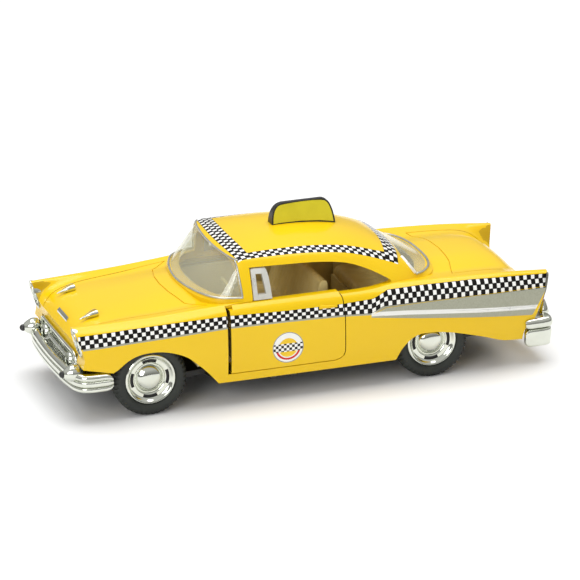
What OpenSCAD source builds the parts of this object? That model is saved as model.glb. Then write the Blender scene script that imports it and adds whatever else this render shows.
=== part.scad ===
// Friction toy taxi: a small die-cast hardtop with opening doors, plated trim,
// rubber tyres and a flywheel motor geared to the rear axle.
// Millimetres, +Z up, nose toward -X, left side toward -Y.
// Origin on the ground under the middle of the car.

/* [Body] */
// Wall thickness of the casting
skin = 1.2; // [0.9:0.1:1.5]
// Depth of the engraved bonnet and boot lines
seam_depth = 0.35; // [0.2:0.05:0.5]
// Height the side spear stands proud of the side
spear_relief = 0.25; // [0.1:0.05:0.4]

/* [Doors] */
// Gap round the door edges
door_gap = 0.22; // [0.15:0.01:0.3]
// Gap in front of the door, where the edge swings
door_front_gap = 0.85; // [0.75:0.05:0.9]
// Thickness of the door casting
door_thickness = 2.1; // [1.9:0.1:2.3]
// Radius of the hinge pins
hinge_pin_r = 0.45; // [0.4:0.01:0.5]
// Running clearance round the hinge pins, on the radius
hinge_clearance = 0.05; // [0.03:0.01:0.08]

/* [Wheels] */
// Outer radius of the tyres
tyre_r = 9.3; // [8.8:0.1:9.5]
// Width of a tyre
tyre_w = 4.8; // [4:0.1:5]
// Radius of the plated rims
rim_r = 6.45; // [5.8:0.05:6.6]
// Front axle position
front_axle_x = -41.6; // [-42:0.1:-41]
// Rear axle position
rear_axle_x = 31.4; // [31:0.1:32]
// Outer face of the tyres from the middle
track_half = 21.3; // [20.8:0.1:21.3]
// Radius of both axles
axle_r = 1.0; // [0.8:0.05:1.1]
// Running clearance in the axle bearings, on the radius
axle_clearance = 0.06; // [0.03:0.01:0.1]

/* [Motor] */
// Size of the gear teeth (pitch diameter over tooth count)
gear_module = 0.4; // [0.38:0.01:0.41]
// Radius of the flywheel
flywheel_r = 5.8; // [4.5:0.1:6]
// Thickness of the flywheel
flywheel_w = 5.2; // [4:0.1:5.4]

/* [Sign] */
// Height of the roof sign above the roof
sign_h = 5.2; // [4:0.1:6]
// Thickness of the roof sign at its foot
sign_t = 3.4; // [2.8:0.1:4]

/* [Hidden] */
$fn = 48;
axle_z = tyre_r;
wheel_in = track_half - tyre_w;
hinge_x = -20.4;
hinge_y = 21.15;
eps = 0.01;

// ---------- smooth curves through a few control points ----------
function seg(t, x, i = 0) =
    (i >= len(t) - 2 || x < t[i + 1][0]) ? i : seg(t, x, i + 1);
function slope(t, i) =
    i <= 0 ? (t[1][1] - t[0][1]) / (t[1][0] - t[0][0])
    : i >= len(t) - 1 ? (t[i][1] - t[i - 1][1]) / (t[i][0] - t[i - 1][0])
    : (t[i + 1][1] - t[i - 1][1]) / (t[i + 1][0] - t[i - 1][0]);
function blend(t, x, i, h, u) =
    (2 * u * u * u - 3 * u * u + 1) * t[i][1]
    + (u * u * u - 2 * u * u + u) * h * slope(t, i)
    + (3 * u * u - 2 * u * u * u) * t[i + 1][1]
    + (u * u * u - u * u) * h * slope(t, i + 1);
function curve(t, x) =
    x <= t[0][0] ? t[0][1]
    : x >= t[len(t) - 1][0] ? t[len(t) - 1][1]
    : let (i = seg(t, x), h = t[i + 1][0] - t[i][0])
        blend(t, x, i, h, (x - t[i][0]) / h);
function mix(a, b, u) = a + (b - a) * u;

// heights and half widths of the lower body along its length
crest_z = [[-60.4, 24.2], [-50, 24.4], [-38, 24.8], [-28, 25.4], [-18, 26.0],
    [-6, 26.1], [8, 25.9], [24, 25.8], [36, 25.5], [50, 24.8], [62.4, 23.7]];
crest_y = [[-60.4, 18.2], [-50, 18.8], [-30, 19.6], [-16, 20.2], [22, 20.3],
    [40, 20.2], [62.4, 19.5]];
side_y = [[-60.4, 21.1], [-50, 22.2], [-38, 22.5], [-20, 22.8], [10, 23.0],
    [30, 22.9], [45, 22.6], [62.4, 21.0]];
deck_z = [[-60.4, 16.0], [-59.5, 17.6], [-58.4, 19.6], [-57, 21.4],
    [-55, 22.7], [-52, 23.7], [-47, 24.5], [-38, 25.3], [-28, 26.3],
    [0, 26.4], [34, 26.3], [44, 26.1], [50, 25.8], [53.4, 25.0],
    [55.9, 23.2], [58.4, 20.3], [61.1, 17.0], [62.4, 15.4]];
valley_z = [[-60.4, 16.2], [-59.5, 17.8], [-58.4, 19.7], [-57, 21.3],
    [-55, 22.4], [-52, 23.1], [-47, 23.7], [-38, 24.2], [-28, 25.0],
    [-16, 25.8], [8, 25.8], [26, 25.0], [36, 24.8], [44, 24.7], [50, 24.3],
    [53.4, 23.6], [55.9, 22.2], [58.4, 19.9], [61.1, 16.9], [62.4, 15.2]];
stations = [-60.4, -59.6, -58.6, -57.2, -55, -52, -48, -43, -38, -33, -28,
    -23, -17, -10, -2, 6, 13, 20, 26, 31, 36, 42, 47, 51, 53.4, 54.8, 56,
    57.2, 58.4, 59.8, 61.1, 62.4];

// half section of the lower body from the middle outward and down
function half_section(x, o) =
    let (zd = curve(deck_z, x), zv = curve(valley_z, x),
        zc = curve(crest_z, x), yc = curve(crest_y, x),
        ys = curve(side_y, x))
    [[0, zd - o], [6, mix(zd, zv, 0.12) - o], [11, mix(zd, zv, 0.6) - o],
     [14.2, zv - o], [16.4 - o * 0.3, mix(zv, zc, 0.28) - o],
     [yc - 1.1 - o * 0.6, zc - 0.14 - o], [yc - o * 0.7, zc - o],
     [yc + 0.9 - o * 0.9, zc - 0.45 - o], [ys - 0.75 - o, zc - 1.35 - o * 0.7],
     [ys - 0.2 - o, zc - 3 - o * 0.3], [ys - o, 19.5], [ys + 0.05 - o, 16],
     [ys - 0.05 - o, 12.5], [ys - 0.3 - o, 9.4],
     [ys - 0.75 - o, o > 0 ? 3 : 6.4]];
function mirrored(h) =
    concat([for (i = [len(h) - 1:-1:1]) [-h[i][0], h[i][1]]],
        h);
function ring3(x, s) = [for (p = s) [x, p[0], p[1]]];

// closed solid through rings of equal length, capped at both ends
module loft(rings) {
    n = len(rings[0]);
    m = len(rings);
    points = [for (r = rings) each r];
    sides = [for (k = [0:m - 2], i = [0:n - 1])
        each [[k * n + i, k * n + (i + 1) % n, (k + 1) * n + i],
            [k * n + (i + 1) % n, (k + 1) * n + (i + 1) % n,
                (k + 1) * n + i]]];
    cap_a = [[for (i = [n - 1:-1:0]) i]];
    cap_b = [[for (i = [0:n - 1]) (m - 1) * n + i]];
    polyhedron(points, concat(sides, cap_a, cap_b));
}

// lower body as a solid block, its surface moved inward by o
module lower(o) {
    loft([for (x = stations) ring3(x, mirrored(half_section(x, o)))]);
}

// a flat shape drawn in x and z, pushed through from y0 to y1
module side_prism(y0, y1) {
    translate([0, y1, 0]) rotate([90, 0, 0])
        linear_extrude(y1 - y0) children();
}

// belt line and roof edge of the cabin, front middle round to rear middle
belt = [[-28.7, 0, 26.6], [-28.4, 5, 26.5], [-27.4, 10.5, 26.3],
    [-26.2, 14, 26.2], [-24.5, 16.8, 26.2], [-22, 18.7, 26.1],
    [-18.4, 19.8, 26.0], [-15.8, 20.3, 26.0], [-5, 20.6, 25.8],
    [5.5, 20.6, 25.7], [14, 20.5, 25.6], [21, 20.0, 25.5],
    [26, 18.6, 25.2], [28.7, 17.2, 25.0], [32, 16.0, 25.0],
    [34.3, 13.4, 25.4], [35.6, 8.5, 25.8], [35.9, 0, 26.0]];
eave = [[-18.7, 0, 36.3], [-18.6, 5, 36.3], [-18.3, 10, 36.2],
    [-18.0, 13.4, 36.0], [-17.7, 15.2, 35.8], [-17.2, 16.1, 35.7],
    [-16.4, 16.6, 35.6], [-15.0, 16.75, 35.6], [-4.4, 16.9, 35.4],
    [3.2, 16.9, 34.9], [10.4, 16.8, 33.9], [15.2, 16.7, 32.6],
    [20, 16.4, 31.1], [23.4, 15.9, 30.2], [25.0, 14.8, 30.1],
    [26.0, 12, 30.3], [26.6, 7, 30.6], [26.8, 0, 30.8]];
roof_mid = [[-18.7, 36.3], [-15, 37.1], [-10, 37.7], [-4, 38.05],
    [2, 38.05], [8, 37.6], [13, 36.8], [18, 35.4], [22, 33.8], [26.8, 30.8]];
roof_side = [[-18.7, 35.7], [-4.4, 35.4], [3.2, 34.9], [10.4, 33.9],
    [15.2, 32.6], [20, 31.1], [26.8, 30.0]];
roof_x = 4;

function roof_z(x, y) =
    let (a = curve(roof_mid, x), b = curve(roof_side, x))
    a - (a - b) * pow(min(1, abs(y) / 16.9), 2.4);
function full_ring(h) =
    concat(h, [for (i = [len(h) - 2:-1:1]) [h[i][0], -h[i][1], h[i][2]]]);
function pull(p, o) =
    [roof_x + (p[0] - roof_x) * (1 - o * 1.4 / 30), p[1] * (1 - o / 18.5),
        p[2] - o * 0.9];
function cap_ring(s) =
    [for (p = eave) let (x = mix(roof_x, p[0], s), y = p[1] * s)
        [x, y, roof_z(x, y)]];
function bulge(a, b, u) =
    [mix(a[0], b[0], u), mix(a[1], b[1], u) + 0.35 * (a[1] > 15 ? 1 : 0),
        mix(a[2], b[2], u)];

// cabin as a solid block, its surface moved inward by o, foot at height z0
module cabin(o, z0) {
    foot = [for (p = belt) [p[0], p[1], z0]];
    mid = [for (i = [0:len(belt) - 1]) bulge(belt[i], eave[i], 0.5)];
    levels = concat([[for (p = foot) [pull(p, o)[0], pull(p, o)[1], z0]]],
        [[for (p = belt) let (q = pull(p, o)) [q[0], q[1], p[2]]]],
        [[for (p = mid) pull(p, o)]],
        [[for (p = eave) pull(p, o)]],
        [for (s = [0.93, 0.8, 0.6, 0.38, 0.15]) [for (p = cap_ring(s))
            pull(p, o)]]);
    loft([for (r = levels) full_ring(r)]);
}

// ---------- side outlines (x, z) ----------
outline = [[62.6, 45], [62.6, 24.4], [62.1, 22.6], [61.4, 19.4], [59.3, 14],
    [58.5, 12], [56.6, 10.6], [55.6, 8.5], [55.3, 6.9], [50, 7.5],
    [45.1, 9.2], [40.2, 10.7], [36, 11.8], [31.4, 12.5], [27.4, 12.5],
    [25.3, 11.6], [22.9, 9.3], [21.3, 6.4], [-24.7, 6.4], [-27.3, 9.5],
    [-29.6, 11.8], [-32.8, 14.5], [-36.6, 16.1], [-40.3, 16.8],
    [-44.5, 16.6], [-47.4, 15.5], [-50.2, 13.4], [-51.4, 12.7],
    [-58.7, 14.2], [-58.3, 16.7], [-59.4, 20.7], [-60.4, 24.3], [-60.4, 45]];
cavity = [[61, 45], [61, 24.2], [60.1, 19.8], [57.8, 14.4], [57.1, 12.6],
    [55.2, 11.2], [54.2, 8.9], [53.9, 0], [-57.3, 0], [-57.3, 16.7],
    [-58.3, 20.9], [-59.2, 24.3], [-59.2, 45]];
door_outline = [[-21.5, 8.7], [-21.5, 28], [6.0, 28], [6.5, 26.6],
    [7.3, 24.6], [7.8, 20], [7.8, 10.8], [7.4, 9.7], [6.4, 9.0],
    [5.2, 8.7]];
// the shelf of the body that carries the windscreen pillar, above the door
shelf_z = 25.0;
shelf_y = 20.35;
pillar_back_x = -15.2;
window_outline = [[-15.0, 25.9], [-15.0, 33.7], [-7.6, 33.5], [2.8, 33.0],
    [10, 31.9], [14.8, 30.1], [18.7, 28], [21.2, 26.2], [20.6, 25.8],
    [13.9, 25.3], [5.9, 25.3]];
screen_outline = [[-45, 27.0], [-17.5, 26.8], [-18.0, 35.3], [-45, 35.3]];
rear_glass_outline = [[27.4, 34], [26.2, 30.0], [28.9, 26.1], [50, 26.1],
    [50, 34]];
spear_outline = [[15.2, 19.5], [18.5, 20.7], [27.4, 20.8], [42.1, 20.7],
    [62, 20.1], [60, 13.3], [57.8, 13.4], [42.1, 15.3], [27.4, 17.0],
    [19, 18.5]];
bonnet_plan = [[-61.5, -12.8], [-50, -15.2], [-38, -16.2], [-25.5, -17.4],
    [-30.2, -13], [-32, -6], [-32.4, 0], [-32, 6], [-30.2, 13],
    [-25.5, 17.4], [-38, 16.2], [-50, 15.2], [-61.5, 12.8]];
boot_plan = [[38.2, -16.6], [40.2, -9], [40.8, 0], [40.2, 9], [38.2, 16.6],
    [56, 16], [60, 15], [60, -15], [56, -16]];
// posts of the body that take the chassis screws
post_x = [-50.6, 51.6];
post_tops = [23.1, 24.6];

// engraved line round a flat outline, cut seam_depth into the lower body
module seam(plan) {
    difference() {
        translate([0, 0, 15]) linear_extrude(14) difference() {
            polygon(plan);
            offset(delta = -0.32) polygon(plan);
        }
        lower(seam_depth);
    }
}

module shell_block() {
    intersection() {
        union() {
            lower(0);
            cabin(0, 24);
            intersection() {
                lower(-spear_relief);
                side_prism(-40, 40) polygon(spear_outline);
            }
        }
        side_prism(-40, 40) polygon(outline);
    }
}

// the ends of the wings round the lamps stay solid
solid_end_x = 54.5;
solid_end_y = 14.6;
module hollow() {
    difference() {
        intersection() {
            lower(skin);
            side_prism(-40, 40) polygon(cavity);
        }
        for (x = [-solid_end_x - 20, solid_end_x], y = [-solid_end_y - 20,
                solid_end_y])
            translate([x, y, 0]) cube([20, 20, 40]);
    }
    cabin(skin, 16);
}

module wheel_wells() {
    for (x = [front_axle_x, rear_axle_x])
        translate([x, 21.75, axle_z]) rotate([90, 0, 0])
            cylinder(r = tyre_r + 1.1, h = 43.5);
}

module door_holes() {
    for (s = [-1, 1]) difference() {
        side_prism(s < 0 ? -30 : 17.6, s < 0 ? -17.6 : 30) {
            offset(delta = door_gap) polygon(door_outline);
            translate([-21.5 - door_front_gap, 8.7 - door_gap])
                square([4, 17.6 + door_gap]);
        }
        translate([-30, -shelf_y, shelf_z])
            cube([30 + pillar_back_x, 2 * shelf_y, 20]);
        translate([-30, -20.8, 26.1]) cube([60, 41.6, 20]);
    }
}

// thins the inside of the edge in front of each door, where it swings past
module front_edge_relief() {
    for (s = [-1, 1])
        translate([-26.2, s * 20.0 - 2, 8]) cube([5, 4, 15]);
}

lamp_y = 18.7;
lamp_r = 1.9;
module headlight_holes() {
    for (s = [-1, 1])
        translate([-65, s * lamp_y, 20.4]) rotate([0, 90, 0])
            cylinder(r = lamp_r + 0.1, h = 7.75);
}

module body_shell() {
    color([0.95, 0.76, 0.1]) resize([0, 0, 0]) {
        difference() {
            shell_block();
            hollow();
            side_prism(-40, 40) polygon(window_outline);
            side_prism(-40, 40) polygon(screen_outline);
            side_prism(-40, 40) polygon(rear_glass_outline);
            door_holes();
            wheel_wells();
            front_edge_relief();
            headlight_holes();
            translate([-70, -15.6, 2]) cube([14, 31.2, 14.3]);
            seam(bonnet_plan);
            seam(boot_plan);
        }
        for (i = [0, 1])
            translate([post_x[i], 0, 7.1]) difference() {
                cylinder(r = 1.95, h = post_tops[i] - 7.1);
                translate([0, 0, -1]) cylinder(r = 1.0, h = 8);
            }
    }
}

// ---------- doors ----------
module door_body(s) {
    resize([0, 0, 0]) intersection() {
        difference() {
            lower(0);
            lower(door_thickness);
        }
        translate([-30, s < 0 ? -30 : 18.9, 0]) cube([60, 11.1, 25.75]);
        union() {
            translate([-20.6, s < 0 ? -40 : shelf_y + door_gap, 0])
                cube([10.6, 40 - shelf_y - door_gap, 30]);
            translate([-30, -30, 0]) cube([60, 60, shelf_z - door_gap]);
            translate([pillar_back_x + 0.01, -30, 0]) cube([40, 60, 30]);
        }
        side_prism(-40, 40) polygon(door_outline);
    }
}

// pocket for one hinge lug, open to the front and the inside
module hinge_pocket(s, z) {
    translate([hinge_x - 2, s < 0 ? -hinge_y - 1.05 : hinge_y - 3.6, z - 0.25])
        cube([3.1, 4.65, 1.7]);
}

lug_z = [11.2, 20.2];
lug_h = 1.2;

module door(s) {
    color([0.95, 0.76, 0.1]) {
        difference() {
            door_body(s);
            for (z = lug_z) hinge_pocket(s, z);
        }
        for (z = lug_z)
            translate([hinge_x, s * hinge_y, z - 0.75])
                cylinder(r = hinge_pin_r, h = lug_h + 0.55);
        translate([1.0, s * 22.75, 21.6]) rotate([0, 94, 0])
            cylinder(r = 0.5, h = 3.4);
    }
}
module door_left() { door(-1); }
module door_right() { door(1); }

// silver quarter-light frame standing on the door
frame_outline = [[-14.75, 26.0], [-14.7, 33.1], [-14.3, 33.3], [-11.2, 33.2],
    [-10.7, 32.8], [-10.0, 26.0]];
frame_hole = [[-13.6, 27.2], [-13.6, 32.1], [-12.0, 32.0], [-11.4, 27.2]];
module quarter_frame(s) {
    color([0.8, 0.8, 0.8]) resize([0, 0, 0]) intersection() {
        difference() {
            cabin(0.1, 24);
            cabin(1.0, 24);
            side_prism(-40, 40) polygon(frame_hole);
        }
        side_prism(-40, 40) polygon(frame_outline);
        translate([-20, s < 0 ? -30 : 10, 25.8]) cube([12, 20, 10]);
    }
}
module quarter_frame_left() { quarter_frame(-1); }
module quarter_frame_right() { quarter_frame(1); }

// ---------- glazing: one clear moulding under the roof ----------
module glazing() {
    color([0.75, 0.85, 0.8, 0.4]) resize([0, 0, 0]) {
        difference() {
            cabin(skin + 0.08, 16);
            cabin(skin + 0.75, 14);
            side_prism(-40, 40) offset(delta = 0.5) polygon(window_outline);
            translate([-40, -30, 10]) cube([100, 60, 15.4]);
        }
        intersection() {
            difference() {
                cabin(0.2, 24);
                cabin(skin + 0.3, 20);
            }
            side_prism(-40, 40) {
                offset(delta = -0.12) polygon(screen_outline);
                offset(delta = -0.12) polygon(rear_glass_outline);
            }
        }
    }
}

// ---------- interior ----------
module seat(x, w, z_foot, z_cushion, z_back, depth) {
    translate([x, -w, z_foot]) cube([depth, 2 * w, z_cushion - z_foot]);
    translate([x + depth, -w, z_foot]) rotate([0, 0, 0])
        side_profile(w, [[-0.6, 0], [3.2, 0], [5.0, z_back - z_foot - 0.6],
            [4.4, z_back - z_foot], [3.2, z_back - z_foot],
            [2.6, z_back - z_foot - 0.6]]);
}
module side_profile(w, pts) {
    translate([0, 2 * w, 0]) rotate([90, 0, 0])
        linear_extrude(2 * w) polygon(pts);
}

module interior_tub() {
    color([0.62, 0.55, 0.36]) difference() {
        union() {
            translate([-29, -18.7, 10.2]) cube([49, 37.4, 0.9]);
            translate([18.4, -15.7, 15.9]) cube([13.6, 31.4, 0.9]);
            translate([17.8, -15.7, 10.2]) cube([0.9, 31.4, 6.6]);
            for (s = [-1, 1]) {
                translate([-29, s * 18.25 - 0.45, 10.2])
                    cube([49, 0.9, 12.6]);
                translate([18.4, s * 15.25 - 0.45, 15.9])
                    cube([13.6, 0.9, 7.3]);
            }
            translate([-29, -18.7, 10.2]) cube([0.9, 37.4, 13.0]);
            seat(-8.5, 16.2, 11, 16.6, 27.2, 9.5);
            seat(18.1, 14.4, 16.1, 19.4, 25.3, 7.6);
            translate([-28.5, -16.0, 19]) side_profile(16.0,
                [[0, 0], [4.2, 0], [6.4, 2.6], [6.2, 4.5], [5.2, 4.9],
                 [4.0, 4.45], [0, 4.4]]);
            for (s = [-1, 1], z = lug_z) {
                translate([hinge_x - 0.8, s < 0 ? -hinge_y : 18, z])
                    cube([1.6, hinge_y - 18, lug_h]);
                translate([hinge_x, s * hinge_y, z])
                    cylinder(r = 0.86, h = lug_h);
            }
        }
        for (s = [-1, 1])
            translate([hinge_x, s * hinge_y, 9])
                cylinder(r = hinge_pin_r + hinge_clearance, h = 16);
        translate([-22.6, -8.5, 22.4]) rotate([0, 65, 0])
            translate([0, 0, -3]) cylinder(r = 0.75, h = 8);
    }
}

module steering_wheel() {
    color([0.9, 0.87, 0.75]) translate([-22.6, -8.5, 22.4])
        rotate([0, 65, 0]) {
            cylinder(r = 0.7, h = 6.2);
            translate([0, 0, 6]) {
                rotate_extrude() translate([3.6, 0]) circle(r = 0.42);
                for (a = [0, 120, 240])
                    rotate([0, 0, a]) translate([0, -0.35, -0.25])
                        cube([3.6, 0.7, 0.5]);
                cylinder(r = 1.0, h = 0.6);
            }
        }
}

// ---------- chassis ----------
plate_z = 5.6;
plate_t = 1.4;
module chassis_outline() {
    difference() {
        polygon([[-57, -11.5], [-52.6, -13.6], [-36, -13.6], [-25.2, -12.4],
            [-23.2, -19.6], [20.2, -19.6], [21.4, -11.3], [46, -11.3],
            [53.4, -13], [53.4, 13], [46, 11.3], [21.4, 11.3],
            [20.2, 19.6], [-23.2, 19.6], [-25.2, 12.4], [-36, 13.6],
            [-52.6, 13.6], [-57, 11.5]]);
        for (x = [front_axle_x, rear_axle_x], s = [-1, 1])
            translate([x - tyre_r - 0.9, s * 20 - 4.6])
                square([2 * tyre_r + 1.8, 9.2]);
        translate([motor_front - 0.3, -8.1]) square([motor_len + 0.6, 16.2]);
    }
}

module bearing_lug(x, y) {
    translate([x - 2.4, y - 1.2, plate_z + eps])
        cube([4.8, 2.4, axle_z + 2.6 - plate_z]);
}

module chassis_plate() {
    color([0.09, 0.09, 0.09]) difference() {
        union() {
            translate([0, 0, plate_z]) linear_extrude(plate_t)
                chassis_outline();
            for (s = [-1, 1]) {
                bearing_lug(front_axle_x, s * 12);
                translate([-31, s * 6 - 0.8, plate_z - 0.8 + eps])
                    cube([48, 1.6, 0.8]);
                for (x = [-10.6, -5.4])
                    translate([x, s * 17.9 - 1.2, plate_z - 0.9 + eps])
                        cube([1.6, 2.4, 0.9]);
            }
            translate([-36, 0, plate_z + 0.1]) rotate([0, 90, 0])
                cylinder(r = 1.1, h = 56);
            translate([-20, 11.5, plate_z + 0.1]) rotate([0, 90, 0])
                cylinder(r = 1.9, h = 13);
            translate([-33, 11.5, plate_z + 0.1]) rotate([0, 90, 0])
                cylinder(r = 0.8, h = 50);
            for (x = post_x)
                translate([x, 0, plate_z]) cylinder(r = 2.5, h = plate_t);
        }
        translate([front_axle_x, 22, axle_z]) rotate([90, 0, 0])
            cylinder(r = axle_r + axle_clearance, h = 44);
        for (x = post_x)
            translate([x, 0, plate_z - 2]) {
                cylinder(r = 1.15, h = 6);
                cylinder(r = 2.15, h = 2.9);
            }
        for (y = [-9.0, 8.9])
            translate([(foot_x[0] + foot_x[1]) / 2, y, plate_z - 1])
                cylinder(r = 0.63, h = 4);
    }
}

module chassis_screws() {
    color([0.6, 0.6, 0.62]) for (x = post_x)
        translate([x, 0, plate_z + 0.02]) difference() {
            union() {
                cylinder(r = 0.92, h = 6.4);
                cylinder(r = 2.0, h = 0.86);
            }
            for (a = [0, 90]) rotate([0, 0, a])
                translate([-1.2, -0.22, -eps]) cube([2.4, 0.44, 0.45]);
        }
}

// ---------- front trim ----------
module plan_layer(points, z0, z1) {
    translate([0, 0, z0]) linear_extrude(z1 - z0) polygon(points);
}
function flip(p) = [for (i = [len(p) - 1:-1:0]) [p[i][0], -p[i][1]]];
function nose_band(o) = let (h = [[-51.4, 22.4 - o], [-57, 22.3 - o],
    [-59.2, 21.4 - o * 0.9], [-60.6 + o * 0.5, 19.4 - o * 0.4],
    [-61.5 + o, 15], [-62 + o, 8], [-62.2 + o, 0]]) h;
function band_shape(o, t) = let (a = nose_band(o), b = nose_band(o + t))
    concat(a, flip([for (i = [0:len(a) - 2]) a[i]]),
        [for (i = [0:len(b) - 2]) [b[i][0], -b[i][1]]],
        flip([for (p = b) [p[0], -p[1]]]));

module front_bumper() {
    color([0.85, 0.86, 0.86]) {
        plan_layer(band_shape(0.3, 1.6), 8.2, 9.4);
        plan_layer(band_shape(0.6, 1.3), 9.3, 9.7);
        plan_layer(band_shape(0.0, 1.9), 9.6, 11.0);
        plan_layer(band_shape(0.5, 1.4), 10.9, 11.3);
        plan_layer(band_shape(0.15, 1.75), 11.2, 12.4);
        intersection() {
            plan_layer(band_shape(0.5, 1.4), 12.3, 13.0);
            translate([-70, -30, 12]) cube([10.9, 60, 2]);
        }
        for (s = [-1, 1])
            translate([-60.2, s * 17.6, 12.4]) rotate([0, -90, 0])
                rotate_extrude() polygon([[0, -1.2], [2.1, -1.2], [2.2, 0],
                    [2.0, 0.9], [1.5, 1.8], [0.9, 2.5], [0.85, 2.55],
                    [0, 2.55]]);
    }
}
module bullet_tips() {
    color([0.05, 0.05, 0.05]) for (s = [-1, 1])
        translate([-62.78, s * 17.6, 12.4]) rotate([0, -90, 0])
            rotate_extrude() polygon([[0, 0], [0.88, 0], [0.75, 0.5],
                [0.4, 0.85], [0, 1.0]]);
}

module grille() {
    color([0.82, 0.83, 0.83]) {
        translate([-57.9, -15.3, 8.2]) cube([0.8, 30.6, 7.9]);
        for (i = [0:5])
            translate([-58.5, -15.3, 8.8 + i * 1.15])
                cube([0.7, 30.6, 0.35]);
        for (i = [0:20])
            translate([-58.4, -15 + i * 1.49, 8.3]) cube([0.6, 0.3, 7.3]);
        translate([-58.8, 15.2, 13.3]) rotate([90, 0, 0])
            cylinder(r = 0.6, h = 30.4);
        for (s = [-1, 1])
            translate([-57.6, s * 10.6, 13.3]) rotate([0, -90, 0])
                cylinder(r1 = 2.1, r2 = 1.5, h = 2.1);
        translate([-58.5, -15.4, 15.4]) cube([1.1, 30.8, 0.7]);
    }
}

module headlight_bezels() {
    color([0.85, 0.86, 0.86]) for (s = [-1, 1])
        translate([-59.7, s * lamp_y, 20.4]) rotate([0, 90, 0])
            rotate_extrude() polygon([[lamp_r - 0.45, 0], [lamp_r, 0],
                [lamp_r, 2.4], [lamp_r - 0.75, 2.4], [lamp_r - 0.75, 1.3]]);
}
module headlight_lens(s) {
    color([0.9, 0.95, 0.95, 0.7]) translate([-59.9, s * lamp_y, 20.4])
        rotate([0, 90, 0]) rotate_extrude() polygon([[0, 0.2], [0.8, 0.3],
            [1.3, 0.6], [lamp_r - 0.72, 1.0], [lamp_r - 0.78, 1.35],
            [0, 1.35]]);
}
module headlight_lens_left() { headlight_lens(-1); }
module headlight_lens_right() { headlight_lens(1); }

// ---------- tail ----------
function tail_band(o) = [[55.9, 22.6 - o], [61.8 - o * 0.5, 22.4 - o],
    [63.2 - o * 0.75, 21.7 - o * 0.85], [63.78 - o, 20 - o * 0.4],
    [63.6 - o, 13], [62.9 - o, 9], [62.6 - o, 0]];
function tail_shape(o, t) = let (a = tail_band(o), b = tail_band(o + t))
    concat(a, flip([for (i = [0:len(a) - 2]) a[i]]),
        [for (i = [0:len(b) - 2]) [b[i][0], -b[i][1]]],
        flip([for (p = b) [p[0], -p[1]]]));
module rear_bumper() {
    color([0.85, 0.86, 0.86]) resize([0, 0, 0]) difference() {
        union() {
            plan_layer(tail_shape(0.6, 1.7), 4.6, 6.4);
            plan_layer(tail_shape(0.35, 2.0), 6.2, 9.3);
            plan_layer(tail_shape(0.8, 1.5), 9.1, 9.7);
            difference() {
                plan_layer(tail_shape(0.0, 2.3), 9.5, 12.1);
                translate([50, -13.4, 9.6]) cube([20, 26.8, 4]);
            }
        }
        intersection() {
            side_prism(-40, 40) offset(delta = 0.12) polygon(outline);
            translate([50, -40, 0]) cube([12.5, 80, 20]);
        }
    }
}
module bumper_guards() {
    color([0.85, 0.86, 0.86]) for (s = [-1, 1])
        translate([62.3, s * 18, 12.15]) rotate_extrude()
            polygon([[0, 0], [1.25, 0], [1.25, 0.6], [0.85, 1.8],
                [0.3, 3.3], [0, 3.6]]);
}
module tail_lamp(s) {
    color([0.55, 0.05, 0.04]) translate([60.66, s * 19.2, 17.0])
        rotate([0, 113.6, 0]) {
            cylinder(r = 1.35, h = 0.5);
            translate([0, 0, 0.49]) cylinder(r1 = 1.2, r2 = 0.8, h = 0.6);
        }
}
module tail_lamp_left() { tail_lamp(-1); }
module tail_lamp_right() { tail_lamp(1); }

// ---------- bonnet and roof trim ----------
module bonnet_ornaments() {
    color([0.85, 0.86, 0.86]) resize([0, 0, 0]) difference() {
        for (s = [-1, 1])
            translate([-53, s * 9.9, 23.75]) rotate([0, 76, 0])
                rotate_extrude($fn = 24) polygon([[0, -3.3], [0.3, -2.9],
                    [0.62, -1.4], [0.85, 0.2], [0.9, 1.2], [0.78, 1.75],
                    [0.5, 1.8], [0.45, 1.3], [0, 1.3]]);
        lower(-0.02);
    }
}
module nose_bar() {
    color([0.85, 0.86, 0.86]) resize([0, 0, 0]) intersection() {
        difference() {
            lower(-0.4);
            lower(-0.02);
        }
        translate([-58, -4.2, 15]) cube([1.1, 8.4, 12]);
    }
}

sign_x = 4.6;
module sign_side(g) {
    polygon([[sign_x - 8.1 + g, 35], [sign_x - 8.1 + g, 38.9],
        [sign_x - 7.6 + g, 41.2], [sign_x - 6.6 + g, 42.6 - g * 0.4],
        [sign_x - 5.0 + g, 38 + sign_h - g],
        [sign_x + 5.2 - g, 38 + sign_h - g],
        [sign_x + 6.8 - g, 42.4 - g * 0.4], [sign_x + 7.7 - g, 40.6],
        [sign_x + 8.3 - g, 37.6], [sign_x + 8.3 - g, 35]]);
}
// lower edge of the printed face, following the roof
module face_limit(o) {
    polygon([[-6, 48], [-6, 38.1 + o], [-1, 38.35 + o], [4, 38.3 + o],
        [9, 37.85 + o], [14, 36.95 + o], [14, 48]]);
}
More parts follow.
